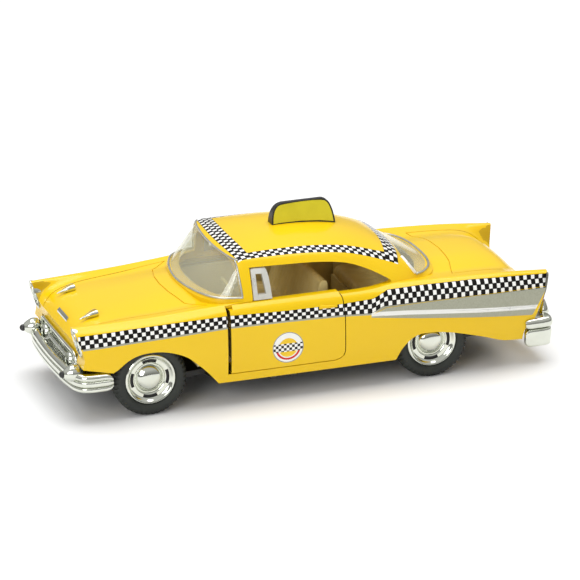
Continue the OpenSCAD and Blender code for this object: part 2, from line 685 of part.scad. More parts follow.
// leans a side of the sign inward toward its top
sign_lean = 0.2;
module leaning(s) {
    multmatrix([[1, 0, 0, 0], [0, 1, -s * sign_lean, s * sign_lean * 37.9],
        [0, 0, 1, 0]]) children();
}
module sign_housing() {
    color([0.07, 0.07, 0.06]) resize([0, 0, 0]) {
        difference() {
            intersection() {
                leaning(-1) side_prism(-sign_t / 2, 6) sign_side(0);
                leaning(1) side_prism(-6, sign_t / 2) sign_side(0);
            }
            for (s = [-1, 1]) leaning(s)
                side_prism(s * (sign_t / 2 - 0.15) - 0.25,
                    s * (sign_t / 2 - 0.15) + 0.25)
                    intersection() {
                        sign_side(0.35);
                        face_limit(-0.12);
                    }
            cabin(-0.04, 24);
        }
    }
}
module sign_faces() {
    color([0.8, 0.85, 0.1]) resize([0, 0, 0]) for (s = [-1, 1])
        difference() {
            leaning(s) side_prism(s * (sign_t / 2 - 0.2) - 0.18,
                s * (sign_t / 2 - 0.2) + 0.18)
                intersection() {
                    sign_side(0.42);
                    face_limit(0);
                }
            cabin(-0.15, 24);
        }
}

// ---------- motor ----------
big_teeth = 20;
small_teeth = 8;
pitch = gear_module * (big_teeth + small_teeth) / 2;
idler_x = rear_axle_x + pitch * 0.972;
idler_z = axle_z + pitch * 0.235;
fly_x = idler_x + pitch * 0.972;
fly_z = idler_z + pitch * 0.235;
motor_front = rear_axle_x - 5.6;
motor_len = fly_x + flywheel_r + 1.2 - motor_front;

// outline of one gear, tooth middle pointing to +x
module gear_outline(teeth, trim = 0) {
    r = gear_module * teeth / 2;
    root = r - gear_module * 1.2;
    tip = r + gear_module * 0.9;
    step = 360 / teeth;
    polygon([for (i = [0:teeth - 1]) let (a = i * step)
        each [[root * cos(a - step * 0.36), root * sin(a - step * 0.36)],
            [r * cos(a - step * 0.225), r * sin(a - step * 0.225)],
            [tip * cos(a - step * 0.1), tip * sin(a - step * 0.1)],
            [tip * cos(a + step * 0.1), tip * sin(a + step * 0.1)],
            [r * cos(a + step * 0.225), r * sin(a + step * 0.225)],
            [root * cos(a + step * 0.36), root * sin(a + step * 0.36)]]]);
}
// a gear on an axis along y; phase turns it about that axis
module gear(teeth, w, y, phase) {
    translate([0, y + w, 0]) rotate([90, 0, 0]) rotate([0, 0, phase])
        linear_extrude(w) gear_outline(teeth);
}
mesh_angle = atan2(0.235, 0.972);
// tooth of the driver faces the line of centres, gap of the driven gear too
phase_axle = mesh_angle;
phase_idler_small = mesh_angle + 180 + 180 / small_teeth;
phase_idler_big = mesh_angle;
phase_fly = mesh_angle + 180 + 180 / small_teeth;

module case_side(g) {
    translate([rear_axle_x, axle_z]) circle(r = 5.6 - g);
    translate([fly_x, fly_z]) circle(r = flywheel_r + 1.2 - g);
    polygon([[rear_axle_x, axle_z - 5.6 + g],
        [fly_x, fly_z - flywheel_r - 1.2 + g],
        [fly_x, fly_z + flywheel_r + 1.2 - g],
        [rear_axle_x, axle_z + 5.6 - g]]);
}
rivet_at = [[rear_axle_x - 6.6, axle_z + 0.6], [idler_x - 0.6, idler_z + 7.6],
    [idler_x, idler_z - 5.9]];
foot_x = [33.5, 43];
foot_y = [-10.6, 10.4];
module ears() {
    for (p = rivet_at) translate(p) circle(r = 1.6);
    polygon([rivet_at[0] + [0, -1.6], rivet_at[0] + [0, 1.6],
        [rear_axle_x, axle_z + 1.6], [rear_axle_x, axle_z - 1.6]]);
    polygon([rivet_at[1] + [-1.6, 0], rivet_at[1] + [1.6, 0],
        [idler_x + 1.6, idler_z], [idler_x - 1.6, idler_z]]);
}
module motor_outline() {
    case_side(0);
    ears();
}
module rivet_bosses(y0, y1) {
    for (p = rivet_at) translate([p[0], y1, p[1]]) rotate([90, 0, 0])
        cylinder(r = 1.25, h = y1 - y0);
}
module foot(y0, y1, y_hole) {
    difference() {
        translate([foot_x[0], y0, 7.03])
            cube([foot_x[1] - foot_x[0], y1 - y0, 1.0]);
        translate([(foot_x[0] + foot_x[1]) / 2, y_hole, 6])
            cylinder(r = 0.65, h = 4);
    }
}
module bores(y0, y1) {
    translate([rear_axle_x, y1, axle_z]) rotate([90, 0, 0])
        cylinder(r = axle_r + axle_clearance, h = y1 - y0);
    translate([fly_x, y1, fly_z]) rotate([90, 0, 0])
        cylinder(r = 0.65, h = y1 - y0);
    for (p = rivet_at) translate([p[0], y1, p[1]]) rotate([90, 0, 0])
        cylinder(r = 0.62, h = y1 - y0);
}
module motor_case_left() {
    color([0.2, 0.2, 0.22]) {
        difference() {
            union() {
                difference() {
                    side_prism(-7.4, -0.75) motor_outline();
                    side_prism(-6.5, 0) case_side(0.9);
                }
                rivet_bosses(-7, -0.75);
            }
            bores(-9, 1);
            translate([idler_x, -5, idler_z]) rotate([90, 0, 0])
                cylinder(r = 0.61, h = 4);
        }
        foot(foot_y[0], -7.2, -9.0);
    }
}
module motor_case_right() {
    color([0.2, 0.2, 0.22]) {
        difference() {
            union() {
                difference() {
                    side_prism(0.15, 7.2) motor_outline();
                    side_prism(-1, 6.3) case_side(0.9);
                }
                rivet_bosses(0.15, 7);
            }
            bores(-2, 9);
        }
        foot(7.0, foot_y[1], 8.9);
    }
}
module motor_middle_plate() {
    color([0.6, 0.6, 0.62]) difference() {
        side_prism(-0.73, 0.13) motor_outline();
        bores(-2, 2);
        translate([idler_x, 2, idler_z]) rotate([90, 0, 0])
            cylinder(r = 0.61, h = 4);
    }
}
module motor_rivets() {
    color([0.7, 0.7, 0.72]) for (p = rivet_at)
        translate([p[0], 0, p[1]]) rotate([90, 0, 0]) {
            translate([0, 0, -7.6]) cylinder(r = 0.6, h = 15.4);
            for (z = [-7.8, 7.42]) translate([0, 0, z])
                cylinder(r = 1.15, h = 0.5);
        }
}
module motor_screws() {
    color([0.6, 0.6, 0.62]) for (y = [-9.0, 8.9])
        translate([(foot_x[0] + foot_x[1]) / 2, y, 5.7]) difference() {
            union() {
                cylinder(r = 0.6, h = 2.6);
                translate([0, 0, 2.35]) cylinder(r = 1.15, h = 0.7);
            }
            translate([-1.3, -0.18, 2.75]) cube([2.6, 0.36, 0.5]);
        }
}
// half length of the axles, which end inside the rims
axle_half = track_half - 1.75;
module rear_axle() {
    color([0.7, 0.7, 0.72]) translate([rear_axle_x, axle_half, axle_z])
        rotate([90, 0, 0]) cylinder(r = axle_r, h = 2 * axle_half);
}
module front_axle() {
    color([0.7, 0.7, 0.72]) translate([front_axle_x, axle_half, axle_z])
        rotate([90, 0, 0]) cylinder(r = axle_r, h = 2 * axle_half);
}
module axle_gear() {
    color([0.92, 0.9, 0.84]) translate([rear_axle_x, 0, axle_z])
        difference() {
            union() {
                gear(big_teeth, 1.8, -5.6, phase_axle);
                translate([0, -3.8 + eps, 0]) rotate([90, 0, 0])
                    cylinder(r = 1.9, h = 2.4);
            }
            translate([0, 2, 0]) rotate([90, 0, 0])
                cylinder(r = axle_r + 0.005, h = 12);
        }
}
module idler_gear() {
    color([0.92, 0.9, 0.84]) translate([idler_x, 0, idler_z])
        difference() {
            union() {
                gear(small_teeth, 3.3, -6.0, phase_idler_small);
                gear(big_teeth, 1.4, -2.8, phase_idler_big);
            }
            translate([0, 2, 0]) rotate([90, 0, 0])
                cylinder(r = 0.66, h = 12);
        }
}
module idler_pin() {
    color([0.7, 0.7, 0.72]) translate([idler_x, 0.12, idler_z])
        rotate([90, 0, 0]) cylinder(r = 0.6, h = 7.5);
}
module flywheel_shaft() {
    color([0.75, 0.62, 0.3]) translate([fly_x, 0, fly_z]) {
        translate([0, 7.1, 0]) rotate([90, 0, 0])
            cylinder(r = 0.6, h = 14.4);
        gear(small_teeth, 1.9, -3.0, phase_fly);
    }
}
module flywheel() {
    color([0.72, 0.6, 0.28]) translate([fly_x, 0.6 + flywheel_w, fly_z])
        rotate([90, 0, 0]) difference() {
            cylinder(r = flywheel_r, h = flywheel_w);
            translate([0, 0, -1]) cylinder(r = 0.605, h = 9);
            for (z = [-1, flywheel_w - 0.8])
                translate([0, 0, z]) difference() {
                    cylinder(r = flywheel_r - 1.2, h = 1.8);
                    cylinder(r = 2.0, h = 1.8);
                }
        }
}

// ---------- wheels ----------
// outer face of the wheel at height 0, going inward along +z
module rim_shape() {
    difference() {
        rotate_extrude() polygon([[0, 0.35], [1.4, 0.5], [2.6, 1.0],
            [3.3, 1.75], [3.7, 1.9], [4.1, 1.6], [4.6, 1.35], [5.1, 1.3],
            [5.5, 1.0], [5.9, 0.55], [6.2, 0.5], [rim_r, 0.7],
            [rim_r, tyre_w - 0.4], [rim_r - 0.7, tyre_w - 0.4],
            [rim_r - 0.7, 2.6], [1.9, 2.6], [1.9, tyre_w - 0.3],
            [0, tyre_w - 0.3]]);
        translate([0, 0, 1.7]) cylinder(r = axle_r + 0.005, h = 9);
        for (a = [0:90:270])
            rotate([0, 0, a + 27]) rotate_extrude(angle = 36)
                translate([4.2, 0.2]) square([0.75, 1.9]);
    }
}
module tyre_shape() {
    difference() {
        rotate_extrude() polygon([[rim_r + 0.01, 0.55], [rim_r + 0.5, 0.15],
            [7.7, 0], [8.6, 0.25], [tyre_r - 0.15, 0.75], [tyre_r, 1.3],
            [tyre_r, tyre_w - 1.3], [tyre_r - 0.15, tyre_w - 0.75],
            [8.6, tyre_w - 0.25], [7.7, tyre_w],
            [rim_r + 0.5, tyre_w - 0.15], [rim_r + 0.01, tyre_w - 0.55]]);
        for (z = [1.6, 2.2, 2.8])
            translate([0, 0, z]) rotate_extrude()
                translate([tyre_r - 0.3, 0]) square([1, 0.25]);
    }
}
module at_wheel(x, s) {
    translate([x, s * track_half, axle_z]) rotate([s > 0 ? 90 : -90, 0, 0])
        children();
}
module rim(x, s) {
    color([0.86, 0.87, 0.87]) at_wheel(x, s) rim_shape();
}
module tyre(x, s) {
    color([0.06, 0.06, 0.06]) at_wheel(x, s) tyre_shape();
}
module rim_front_left() { rim(front_axle_x, -1); }
module rim_front_right() { rim(front_axle_x, 1); }
module rim_rear_left() { rim(rear_axle_x, -1); }
module rim_rear_right() { rim(rear_axle_x, 1); }
module tyre_front_left() { tyre(front_axle_x, -1); }
module tyre_front_right() { tyre(front_axle_x, 1); }
module tyre_rear_left() { tyre(rear_axle_x, -1); }
module tyre_rear_right() { tyre(rear_axle_x, 1); }

body_shell();
door_left();
door_right();
quarter_frame_left();
quarter_frame_right();
glazing();
interior_tub();
steering_wheel();
chassis_plate();
grille();
front_bumper();
bullet_tips();
headlight_bezels();
headlight_lens_left();
headlight_lens_right();
rear_bumper();
bumper_guards();
tail_lamp_left();
tail_lamp_right();
bonnet_ornaments();
nose_bar();
sign_housing();
sign_faces();
chassis_screws();
motor_case_left();
motor_case_right();
motor_middle_plate();
motor_rivets();
motor_screws();
rear_axle();
axle_gear();
idler_gear();
idler_pin();
flywheel_shaft();
flywheel();
front_axle();
rim_front_left();
rim_front_right();
rim_rear_left();
rim_rear_right();
tyre_front_left();
tyre_front_right();
tyre_rear_left();
tyre_rear_right();
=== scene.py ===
import math

import bmesh
import bpy
import numpy as np
from mathutils import Matrix, Vector


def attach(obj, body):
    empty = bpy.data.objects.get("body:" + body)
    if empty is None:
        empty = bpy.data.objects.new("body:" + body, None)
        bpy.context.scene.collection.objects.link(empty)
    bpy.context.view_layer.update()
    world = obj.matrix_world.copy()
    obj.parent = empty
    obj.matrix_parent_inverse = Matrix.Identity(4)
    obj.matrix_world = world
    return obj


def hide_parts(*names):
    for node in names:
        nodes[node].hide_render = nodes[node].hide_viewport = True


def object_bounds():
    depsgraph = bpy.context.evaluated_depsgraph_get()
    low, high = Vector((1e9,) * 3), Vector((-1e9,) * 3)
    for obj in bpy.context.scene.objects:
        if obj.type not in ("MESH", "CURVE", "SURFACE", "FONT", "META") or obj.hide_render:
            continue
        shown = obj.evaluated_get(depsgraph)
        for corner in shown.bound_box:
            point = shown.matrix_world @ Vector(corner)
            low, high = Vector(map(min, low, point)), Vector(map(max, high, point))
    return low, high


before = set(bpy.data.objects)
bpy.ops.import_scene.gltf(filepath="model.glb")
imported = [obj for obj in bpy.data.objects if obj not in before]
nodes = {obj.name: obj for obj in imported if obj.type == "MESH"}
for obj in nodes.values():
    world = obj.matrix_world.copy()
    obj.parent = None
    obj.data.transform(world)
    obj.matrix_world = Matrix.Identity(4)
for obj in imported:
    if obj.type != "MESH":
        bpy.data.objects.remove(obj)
cad_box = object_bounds()

MM = 0.001  # the shapes are worked out in millimetres and scaled at the end


# ---------------------------------------------------------------- curves
def curve(table, x):
    """Smooth curve through (x, value) pairs."""
    t = np.asarray(table, float)
    xs, vs = t[:, 0], t[:, 1]
    x = np.clip(np.asarray(x, float), xs[0], xs[-1])
    s = np.empty(len(xs))
    s[1:-1] = (vs[2:] - vs[:-2]) / (xs[2:] - xs[:-2])
    s[0] = (vs[1] - vs[0]) / (xs[1] - xs[0])
    s[-1] = (vs[-1] - vs[-2]) / (xs[-1] - xs[-2])
    i = np.clip(np.searchsorted(xs, x, side="right") - 1, 0, len(xs) - 2)
    h = xs[i + 1] - xs[i]
    u = (x - xs[i]) / h
    return (
        (2 * u**3 - 3 * u**2 + 1) * vs[i]
        + (u**3 - 2 * u**2 + u) * h * s[i]
        + (3 * u**2 - 2 * u**3) * vs[i + 1]
        + (u**3 - u**2) * h * s[i + 1]
    )


def mix(a, b, u):
    return a + (b - a) * u


def smooth(points, per=4, closed=False):
    """Rounded path through points; the last axis holds the coordinates."""
    p = np.asarray(points, float)
    if closed:
        q = np.concatenate([p[..., -1:, :], p, p[..., :2, :]], axis=-2)
    else:
        q = np.concatenate(
            [2 * p[..., :1, :] - p[..., 1:2, :], p, 2 * p[..., -1:, :] - p[..., -2:-1, :]],
            axis=-2,
        )
    out = []
    for i in range(q.shape[-2] - 3):
        a, b, c, d = (q[..., i + k, :] for k in range(4))

        def gap(m, n):
            return np.maximum(np.linalg.norm(n - m, axis=-1, keepdims=True), 1e-9) ** 0.5

        t1 = gap(a, b)
        t2 = t1 + gap(b, c)
        t3 = t2 + gap(c, d)
        for k in range(per):
            t = t1 + (t2 - t1) * k / per
            e = (t1 - t) / t1 * a + t / t1 * b
            f = (t2 - t) / (t2 - t1) * b + (t - t1) / (t2 - t1) * c
            g = (t3 - t) / (t3 - t2) * c + (t - t2) / (t3 - t2) * d
            e, g = (t2 - t) / t2 * e + t / t2 * f, (t3 - t) / (t3 - t1) * f + (t - t1) / (t3 - t1) * g
            out.append((t2 - t) / (t2 - t1) * e + (t - t1) / (t2 - t1) * g)
    if not closed:
        out.append(p[..., -1, :])
    return np.stack(out, axis=-2)


def smooth_parts(points, corners, per=5, closed=True):
    """Rounds an outline between the corners given by index."""
    p = [tuple(v) for v in points]
    out = []
    for a, b in zip(corners, corners[1:] + [corners[0] + len(p)]):
        run = [p[i % len(p)] for i in range(a, b + 1)]
        out.extend([tuple(v) for v in (smooth(run, per) if len(run) > 2 else np.array(run))][:-1])
    return out


# ---------------------------------------------------------------- meshes
def place(name, data):
    """New object in the scene."""
    ob = bpy.data.objects.new(name, data)
    bpy.context.scene.collection.objects.link(ob)
    return ob


def place_mesh(name, bm):
    me = bpy.data.meshes.new(name)
    bm.to_mesh(me)
    bm.free()
    return place(name, me)


def weld(ob, turn_out=False):
    """Closes a ring onto itself where its first and last sections meet."""
    bm = bmesh.new()
    bm.from_mesh(ob.data)
    bmesh.ops.remove_doubles(bm, verts=bm.verts, dist=1e-4)
    if turn_out:
        bmesh.ops.recalc_face_normals(bm, faces=bm.faces)
    bm.to_mesh(ob.data)
    bm.free()
    return ob


def solid(name, verts, faces):
    bm = bmesh.new()
    vs = [bm.verts.new([float(c) for c in v]) for v in verts]
    for f in faces:
        bm.faces.new([vs[i] for i in f])
    bmesh.ops.recalc_face_normals(bm, faces=bm.faces)
    return place_mesh(name, bm)


def loft(name, rings, caps=True):
    """Skin through rings of equal length."""
    r = np.asarray(rings, float)
    m, n = r.shape[:2]
    faces = []
    for k in range(m - 1):
        for i in range(n):
            j = (i + 1) % n
            faces.append((k * n + i, k * n + j, (k + 1) * n + j, (k + 1) * n + i))
    if caps:
        faces.append(tuple(range(n))[::-1])
        faces.append(tuple((m - 1) * n + i for i in range(n)))
    return solid(name, r.reshape(-1, 3), faces)


WIDE = 40  # reaches past both sides of the car


def prism(name, outline, y0=-WIDE, y1=WIDE):
    """Outline in x and z pushed from y0 to y1."""
    return loft(name, [[(x, y0, z) for x, z in outline], [(x, y1, z) for x, z in outline]])


def plate(name, outline, z0, z1):
    """Outline in x and y pushed from z0 to z1."""
    return loft(name, [[(x, y, z0) for x, y in outline], [(x, y, z1) for x, y in outline]])


def block(name, x0, x1, y0, y1, z0, z1):
    return plate(name, [(x0, y0), (x1, y0), (x1, y1), (x0, y1)], z0, z1)


def disc(n, r):
    return [(r * math.cos(2 * math.pi * i / n), r * math.sin(2 * math.pi * i / n)) for i in range(n)]


def rod(name, a, b, r, n=32):
    """Straight round bar from a to b."""
    return tube(name, [a, b], r, n, soft=0)


def frames(path):
    p = np.asarray(path, float)
    t = np.gradient(p, axis=0)
    t /= np.linalg.norm(t, axis=1, keepdims=True)
    up = np.array([0, 0, 1.0]) if abs(t[0][2]) < 0.9 else np.array([1.0, 0, 0])
    u = np.cross(t[0], up)
    u /= np.linalg.norm(u)
    out = []
    for k in range(len(p)):
        u = u - t[k] * np.dot(u, t[k])
        u /= np.linalg.norm(u)
        out.append((p[k], t[k], u.copy(), np.cross(t[k], u)))
    return out


def tube(name, path, r, n=12, soft=1, flat=1.0):
    """Round bar along a path, its ends rounded when soft."""
    fr = frames(path)
    circle = disc(n, 1.0)
    rings = []

    def ring(f, k, shift):
        c, t, u, v = f
        return [c + t * shift + u * (a * r * k) + v * (b * r * k * flat) for a, b in circle]

    if soft:
        rings += [ring(fr[0], k, s * r) for k, s in ((0.3, 0.0), (0.75, 0.12), (0.95, 0.35))]
        body = fr[1:-1]
    else:
        body = fr
    rings += [ring(f, 1.0, 0) for f in body]
    if soft:
        rings += [ring(fr[-1], k, -s * r) for k, s in ((0.95, 0.35), (0.75, 0.12), (0.3, 0.0))]
    return loft(name, rings)


def lathe(name, profile, centre, axis, n=64, radius=None):
    """Closed profile of (radius, height) turned about an axis. radius(i, angle) may change a radius."""
    c = np.array(centre, float)
    w = np.array(axis, float)
    w /= np.linalg.norm(w)
    u = np.cross(w, [0, 0, 1.0] if abs(w[2]) < 0.9 else [1.0, 0, 0])
    u /= np.linalg.norm(u)
    v = np.cross(w, u)
    pts = [tuple(p) for p in profile]
    closed = pts[0][0] > 1e-6 or pts[-1][0] > 1e-6
    rings = []
    for i, (r, h) in enumerate(pts):
        ring = []
        for k in range(n):
            a = 2 * math.pi * k / n
            rr, hh = radius(i, a, r, h) if radius else (r, h)
            ring.append(c + w * hh + (u * math.cos(a) + v * math.sin(a)) * max(rr, 0.0))
        rings.append(ring)
    verts, faces, rows = [], [], []
    for (r, h), ring in zip(pts, rings):
        if r < 1e-6:
            rows.append([len(verts)])
            verts.append(c + w * h)
        else:
            rows.append(list(range(len(verts), len(verts) + n)))
            verts.extend(ring)
    pairs = list(zip(rows, rows[1:])) + ([(rows[-1], rows[0])] if closed else [])
    for a, b in pairs:
        for k in range(n):
            j = (k + 1) % n
            if len(a) == 1 and len(b) == 1:
                continue
            if len(a) == 1:
                faces.append((a[0], b[k], b[j]))
            elif len(b) == 1:
                faces.append((a[k], a[j], b[0]))
            else:
                faces.append((a[k], a[j], b[j], b[k]))
    return solid(name, verts, faces)


def boolean(a, b, operation):
    """a with b cut out, added or kept in common; b is used up."""
    m = a.modifiers.new("cut", "BOOLEAN")
    m.solver = "MANIFOLD"
    m.operation = operation
    m.object = b
    dg = bpy.context.evaluated_depsgraph_get()
    me = bpy.data.meshes.new_from_object(a.evaluated_get(dg))
    a.modifiers.clear()
    old = a.data
    a.data = me
    bpy.data.meshes.remove(old)
    drop(b)
    return a


def drop(ob):
    me = ob.data
    bpy.data.objects.remove(ob)
    bpy.data.meshes.remove(me)


def join(name, obs):
    """Several meshes as one piece."""
    bm = bmesh.new()
    for o in obs:
        bm.from_mesh(o.data)
        drop(o)
    return place_mesh(name, bm)


def cut(a, *tools):
    for b in tools:
        boolean(a, b, "DIFFERENCE")
    return a


def add(a, *others):
    for b in others:
        boolean(a, b, "UNION")
    return a


HALF_WIDTH = math.floor(cad_box[1][1] / MM * 100) / 100  # nothing stands wider than the CAD box


def piece(ob, material, body, slot, replaces=(), sharp=38, bevel=0.0):
    """Scales a finished shape to metres and ties it to the frame."""
    co = np.empty(len(ob.data.vertices) * 3)
    ob.data.vertices.foreach_get("co", co)
    co[1::3] = np.clip(co[1::3], -HALF_WIDTH, HALF_WIDTH)
    ob.data.vertices.foreach_set("co", co)
    ob.data.transform(Matrix.Scale(MM, 4))
    ob.data.materials.clear()
    ob.data.materials.append(material)
    ob.data.polygons.foreach_set("use_smooth", [True] * len(ob.data.polygons))
    ob.data.set_sharp_from_angle(angle=math.radians(sharp))
    if bevel:
        m = ob.modifiers.new("edge", "BEVEL")
        m.width = bevel * MM
        m.segments = 2
        m.limit_method = "ANGLE"
        m.angle_limit = math.radians(sharp)
        m.harden_normals = True
    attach(ob, body)
    if replaces:
        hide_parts(*replaces)
    return ob


# ---------------------------------------------------------------- materials
class Net:
    """Small helper that writes one node material."""

    def __init__(self, name):
        self.mat = bpy.data.materials.new(name)
        self.mat.use_nodes = True
        self.tree = self.mat.node_tree
        self.bsdf = self.tree.nodes["Principled BSDF"]
        self.out = self.tree.nodes["Material Output"]
        tc = self.tree.nodes.new("ShaderNodeTexCoord")
        self.place = self.vec("SCALE", tc.outputs["Object"], scale=1000.0)
        self.x, self.y, self.z = self.split(self.place)
        self.nx, self.ny, self.nz = self.split(tc.outputs["Normal"])

    def link(self, value, socket):
        if isinstance(value, bpy.types.NodeSocket):
            self.tree.links.new(value, socket)
        elif isinstance(value, (tuple, list)) and len(value) == 3 and len(socket.default_value) == 4:
            socket.default_value = (*value, 1.0)
        else:
            socket.default_value = value

    def split(self, v):
        n = self.tree.nodes.new("ShaderNodeSeparateXYZ")
        self.link(v, n.inputs[0])
        return n.outputs[0], n.outputs[1], n.outputs[2]

    def vec(self, op, a, b=None, scale=None):
        n = self.tree.nodes.new("ShaderNodeVectorMath")
        n.operation = op
        self.link(a, n.inputs[0])
        if b is not None:
            self.link(b, n.inputs[1])
        if scale is not None:
            self.link(scale, n.inputs["Scale"])
        return n.outputs[0]

    def math(self, op, a, b=None, c=None, clamp=False):
        n = self.tree.nodes.new("ShaderNodeMath")
        n.operation = op
        n.use_clamp = clamp
        for v, s in zip((a, b, c), n.inputs):
            if v is not None:
                self.link(v, s)
        return n.outputs[0]

    def add(self, a, b):
        return self.math("ADD", a, b)

    def abs(self, a):
        return self.math("ABSOLUTE", a)

    def fract(self, a):
        return self.math("FRACT", a)

    def sub(self, a, b):
        return self.math("SUBTRACT", a, b)

    def mul(self, a, b):
        return self.math("MULTIPLY", a, b)

    def more(self, a, b):
        return self.math("GREATER_THAN", a, b)

    def less(self, a, b):
        return self.math("LESS_THAN", a, b)

    def both(self, *masks):
        out = masks[0]
        for m in masks[1:]:
            out = self.mul(out, m)
        return out

    def either(self, *masks):
        out = masks[0]
        for m in masks[1:]:
            out = self.math("MAXIMUM", out, m)
        return out

    def no(self, m):
        return self.sub(1.0, m)

    def mix(self, fac, a, b):
        n = self.tree.nodes.new("ShaderNodeMix")
        n.data_type = "RGBA"
        self.link(fac, n.inputs["Factor"])
        self.link(a, n.inputs[6])
        self.link(b, n.inputs[7])
        return n.outputs[2]

    def blend(self, fac, a, b):
        n = self.tree.nodes.new("ShaderNodeMix")
        self.link(fac, n.inputs["Factor"])
        self.link(a, n.inputs[2])
        self.link(b, n.inputs[3])
        return n.outputs[0]

    def ramp(self, v, lo, hi):
        n = self.tree.nodes.new("ShaderNodeMapRange")
        self.link(v, n.inputs["Value"])
        n.inputs["From Min"].default_value = lo
        n.inputs["From Max"].default_value = hi
        return n.outputs[0]

    def noise(self, scale, detail=3.0, rough=0.5, stretch=None):
        n = self.tree.nodes.new("ShaderNodeTexNoise")
        v = self.place if stretch is None else self.vec("MULTIPLY", self.place, stretch)
        self.link(v, n.inputs["Vector"])
        n.inputs["Scale"].default_value = scale
        n.inputs["Detail"].default_value = detail
        n.inputs["Roughness"].default_value = rough
        return n.outputs["Fac"]

    def curve(self, v, table, v0, v1, o0, o1):
        """Broken line through (value, out) pairs."""
        n = self.tree.nodes.new("ShaderNodeFloatCurve")
        c = n.mapping.curves[0]
        pts = [((a - v0) / (v1 - v0), (b - o0) / (o1 - o0)) for a, b in table]
        pts = [(0.0, pts[0][1])] + [p for p in pts if 0.001 < p[0] < 0.999] + [(1.0, pts[-1][1])]
        c.points[0].location, c.points[1].location = pts[0], pts[-1]
        for p in pts[1:-1]:
            c.points.new(*p)
        for p in c.points:
            p.handle_type = "VECTOR"
        n.mapping.update()
        self.link(self.mul(self.sub(v, v0), 1.0 / (v1 - v0)), n.inputs["Value"])
        return self.add(self.mul(n.outputs[0], o1 - o0), o0)

    def bump(self, height, strength, distance):
        n = self.tree.nodes.new("ShaderNodeBump")
        n.inputs["Strength"].default_value = strength
        n.inputs["Distance"].default_value = distance * MM
        self.link(height, n.inputs["Height"])
        self.link(n.outputs[0], self.bsdf.inputs["Normal"])

    def set(self, **values):
        for k, v in values.items():
            self.link(v, self.bsdf.inputs[k.replace("_", " ")])
        return self.mat


BLACK = (0.010, 0.009, 0.008)
WHITE = (0.90, 0.90, 0.86)
SILVER = (0.40, 0.40, 0.31)
# colour of the painted shade in the door gaps
GAP_SHADE = (0.030, 0.018, 0.002)
CHECK = 1.0703  # width of one check along the side
CHECK_X = -56.86  # where one crossing of the side band lies
BADGE_X, BADGE_Z = -7.0, 13.7
NOSE, TAIL = -60.4, 62.4  # ends of the body shell

# heights along the side: edges of the check band, lower edge of the spear
stripe_top = [(-60.4, 22.6), (-47.2, 23.2), (-33.2, 23.5), (-22.3, 23.7), (-6.7, 23.2),
              (7.6, 23.1), (15.3, 23.4), (19.2, 24.95), (27.4, 25.0), (42.0, 24.6), (62.4, 23.2)]
stripe_low = [(-60.4, 19.4), (-47.3, 20.1), (-33.2, 20.5), (-22.4, 20.9), (-6.7, 20.7),
              (3.2, 20.4), (8.0, 20.2), (14.8, 19.7), (17.7, 21.1), (27.4, 21.0),
              (42.1, 20.7), (62.4, 19.8)]
spear_low = [(-60.4, 18.6), (14.8, 18.6), (27.4, 16.8), (42.1, 15.0), (57.8, 13.1), (62.4, 12.6)]
bead_line = [(15.2, 19.45), (18.5, 19.25), (24, 18.8), (30, 18.15), (37.1, 17.4), (44, 16.65), (51, 15.95),
             (58.6, 15.2)]


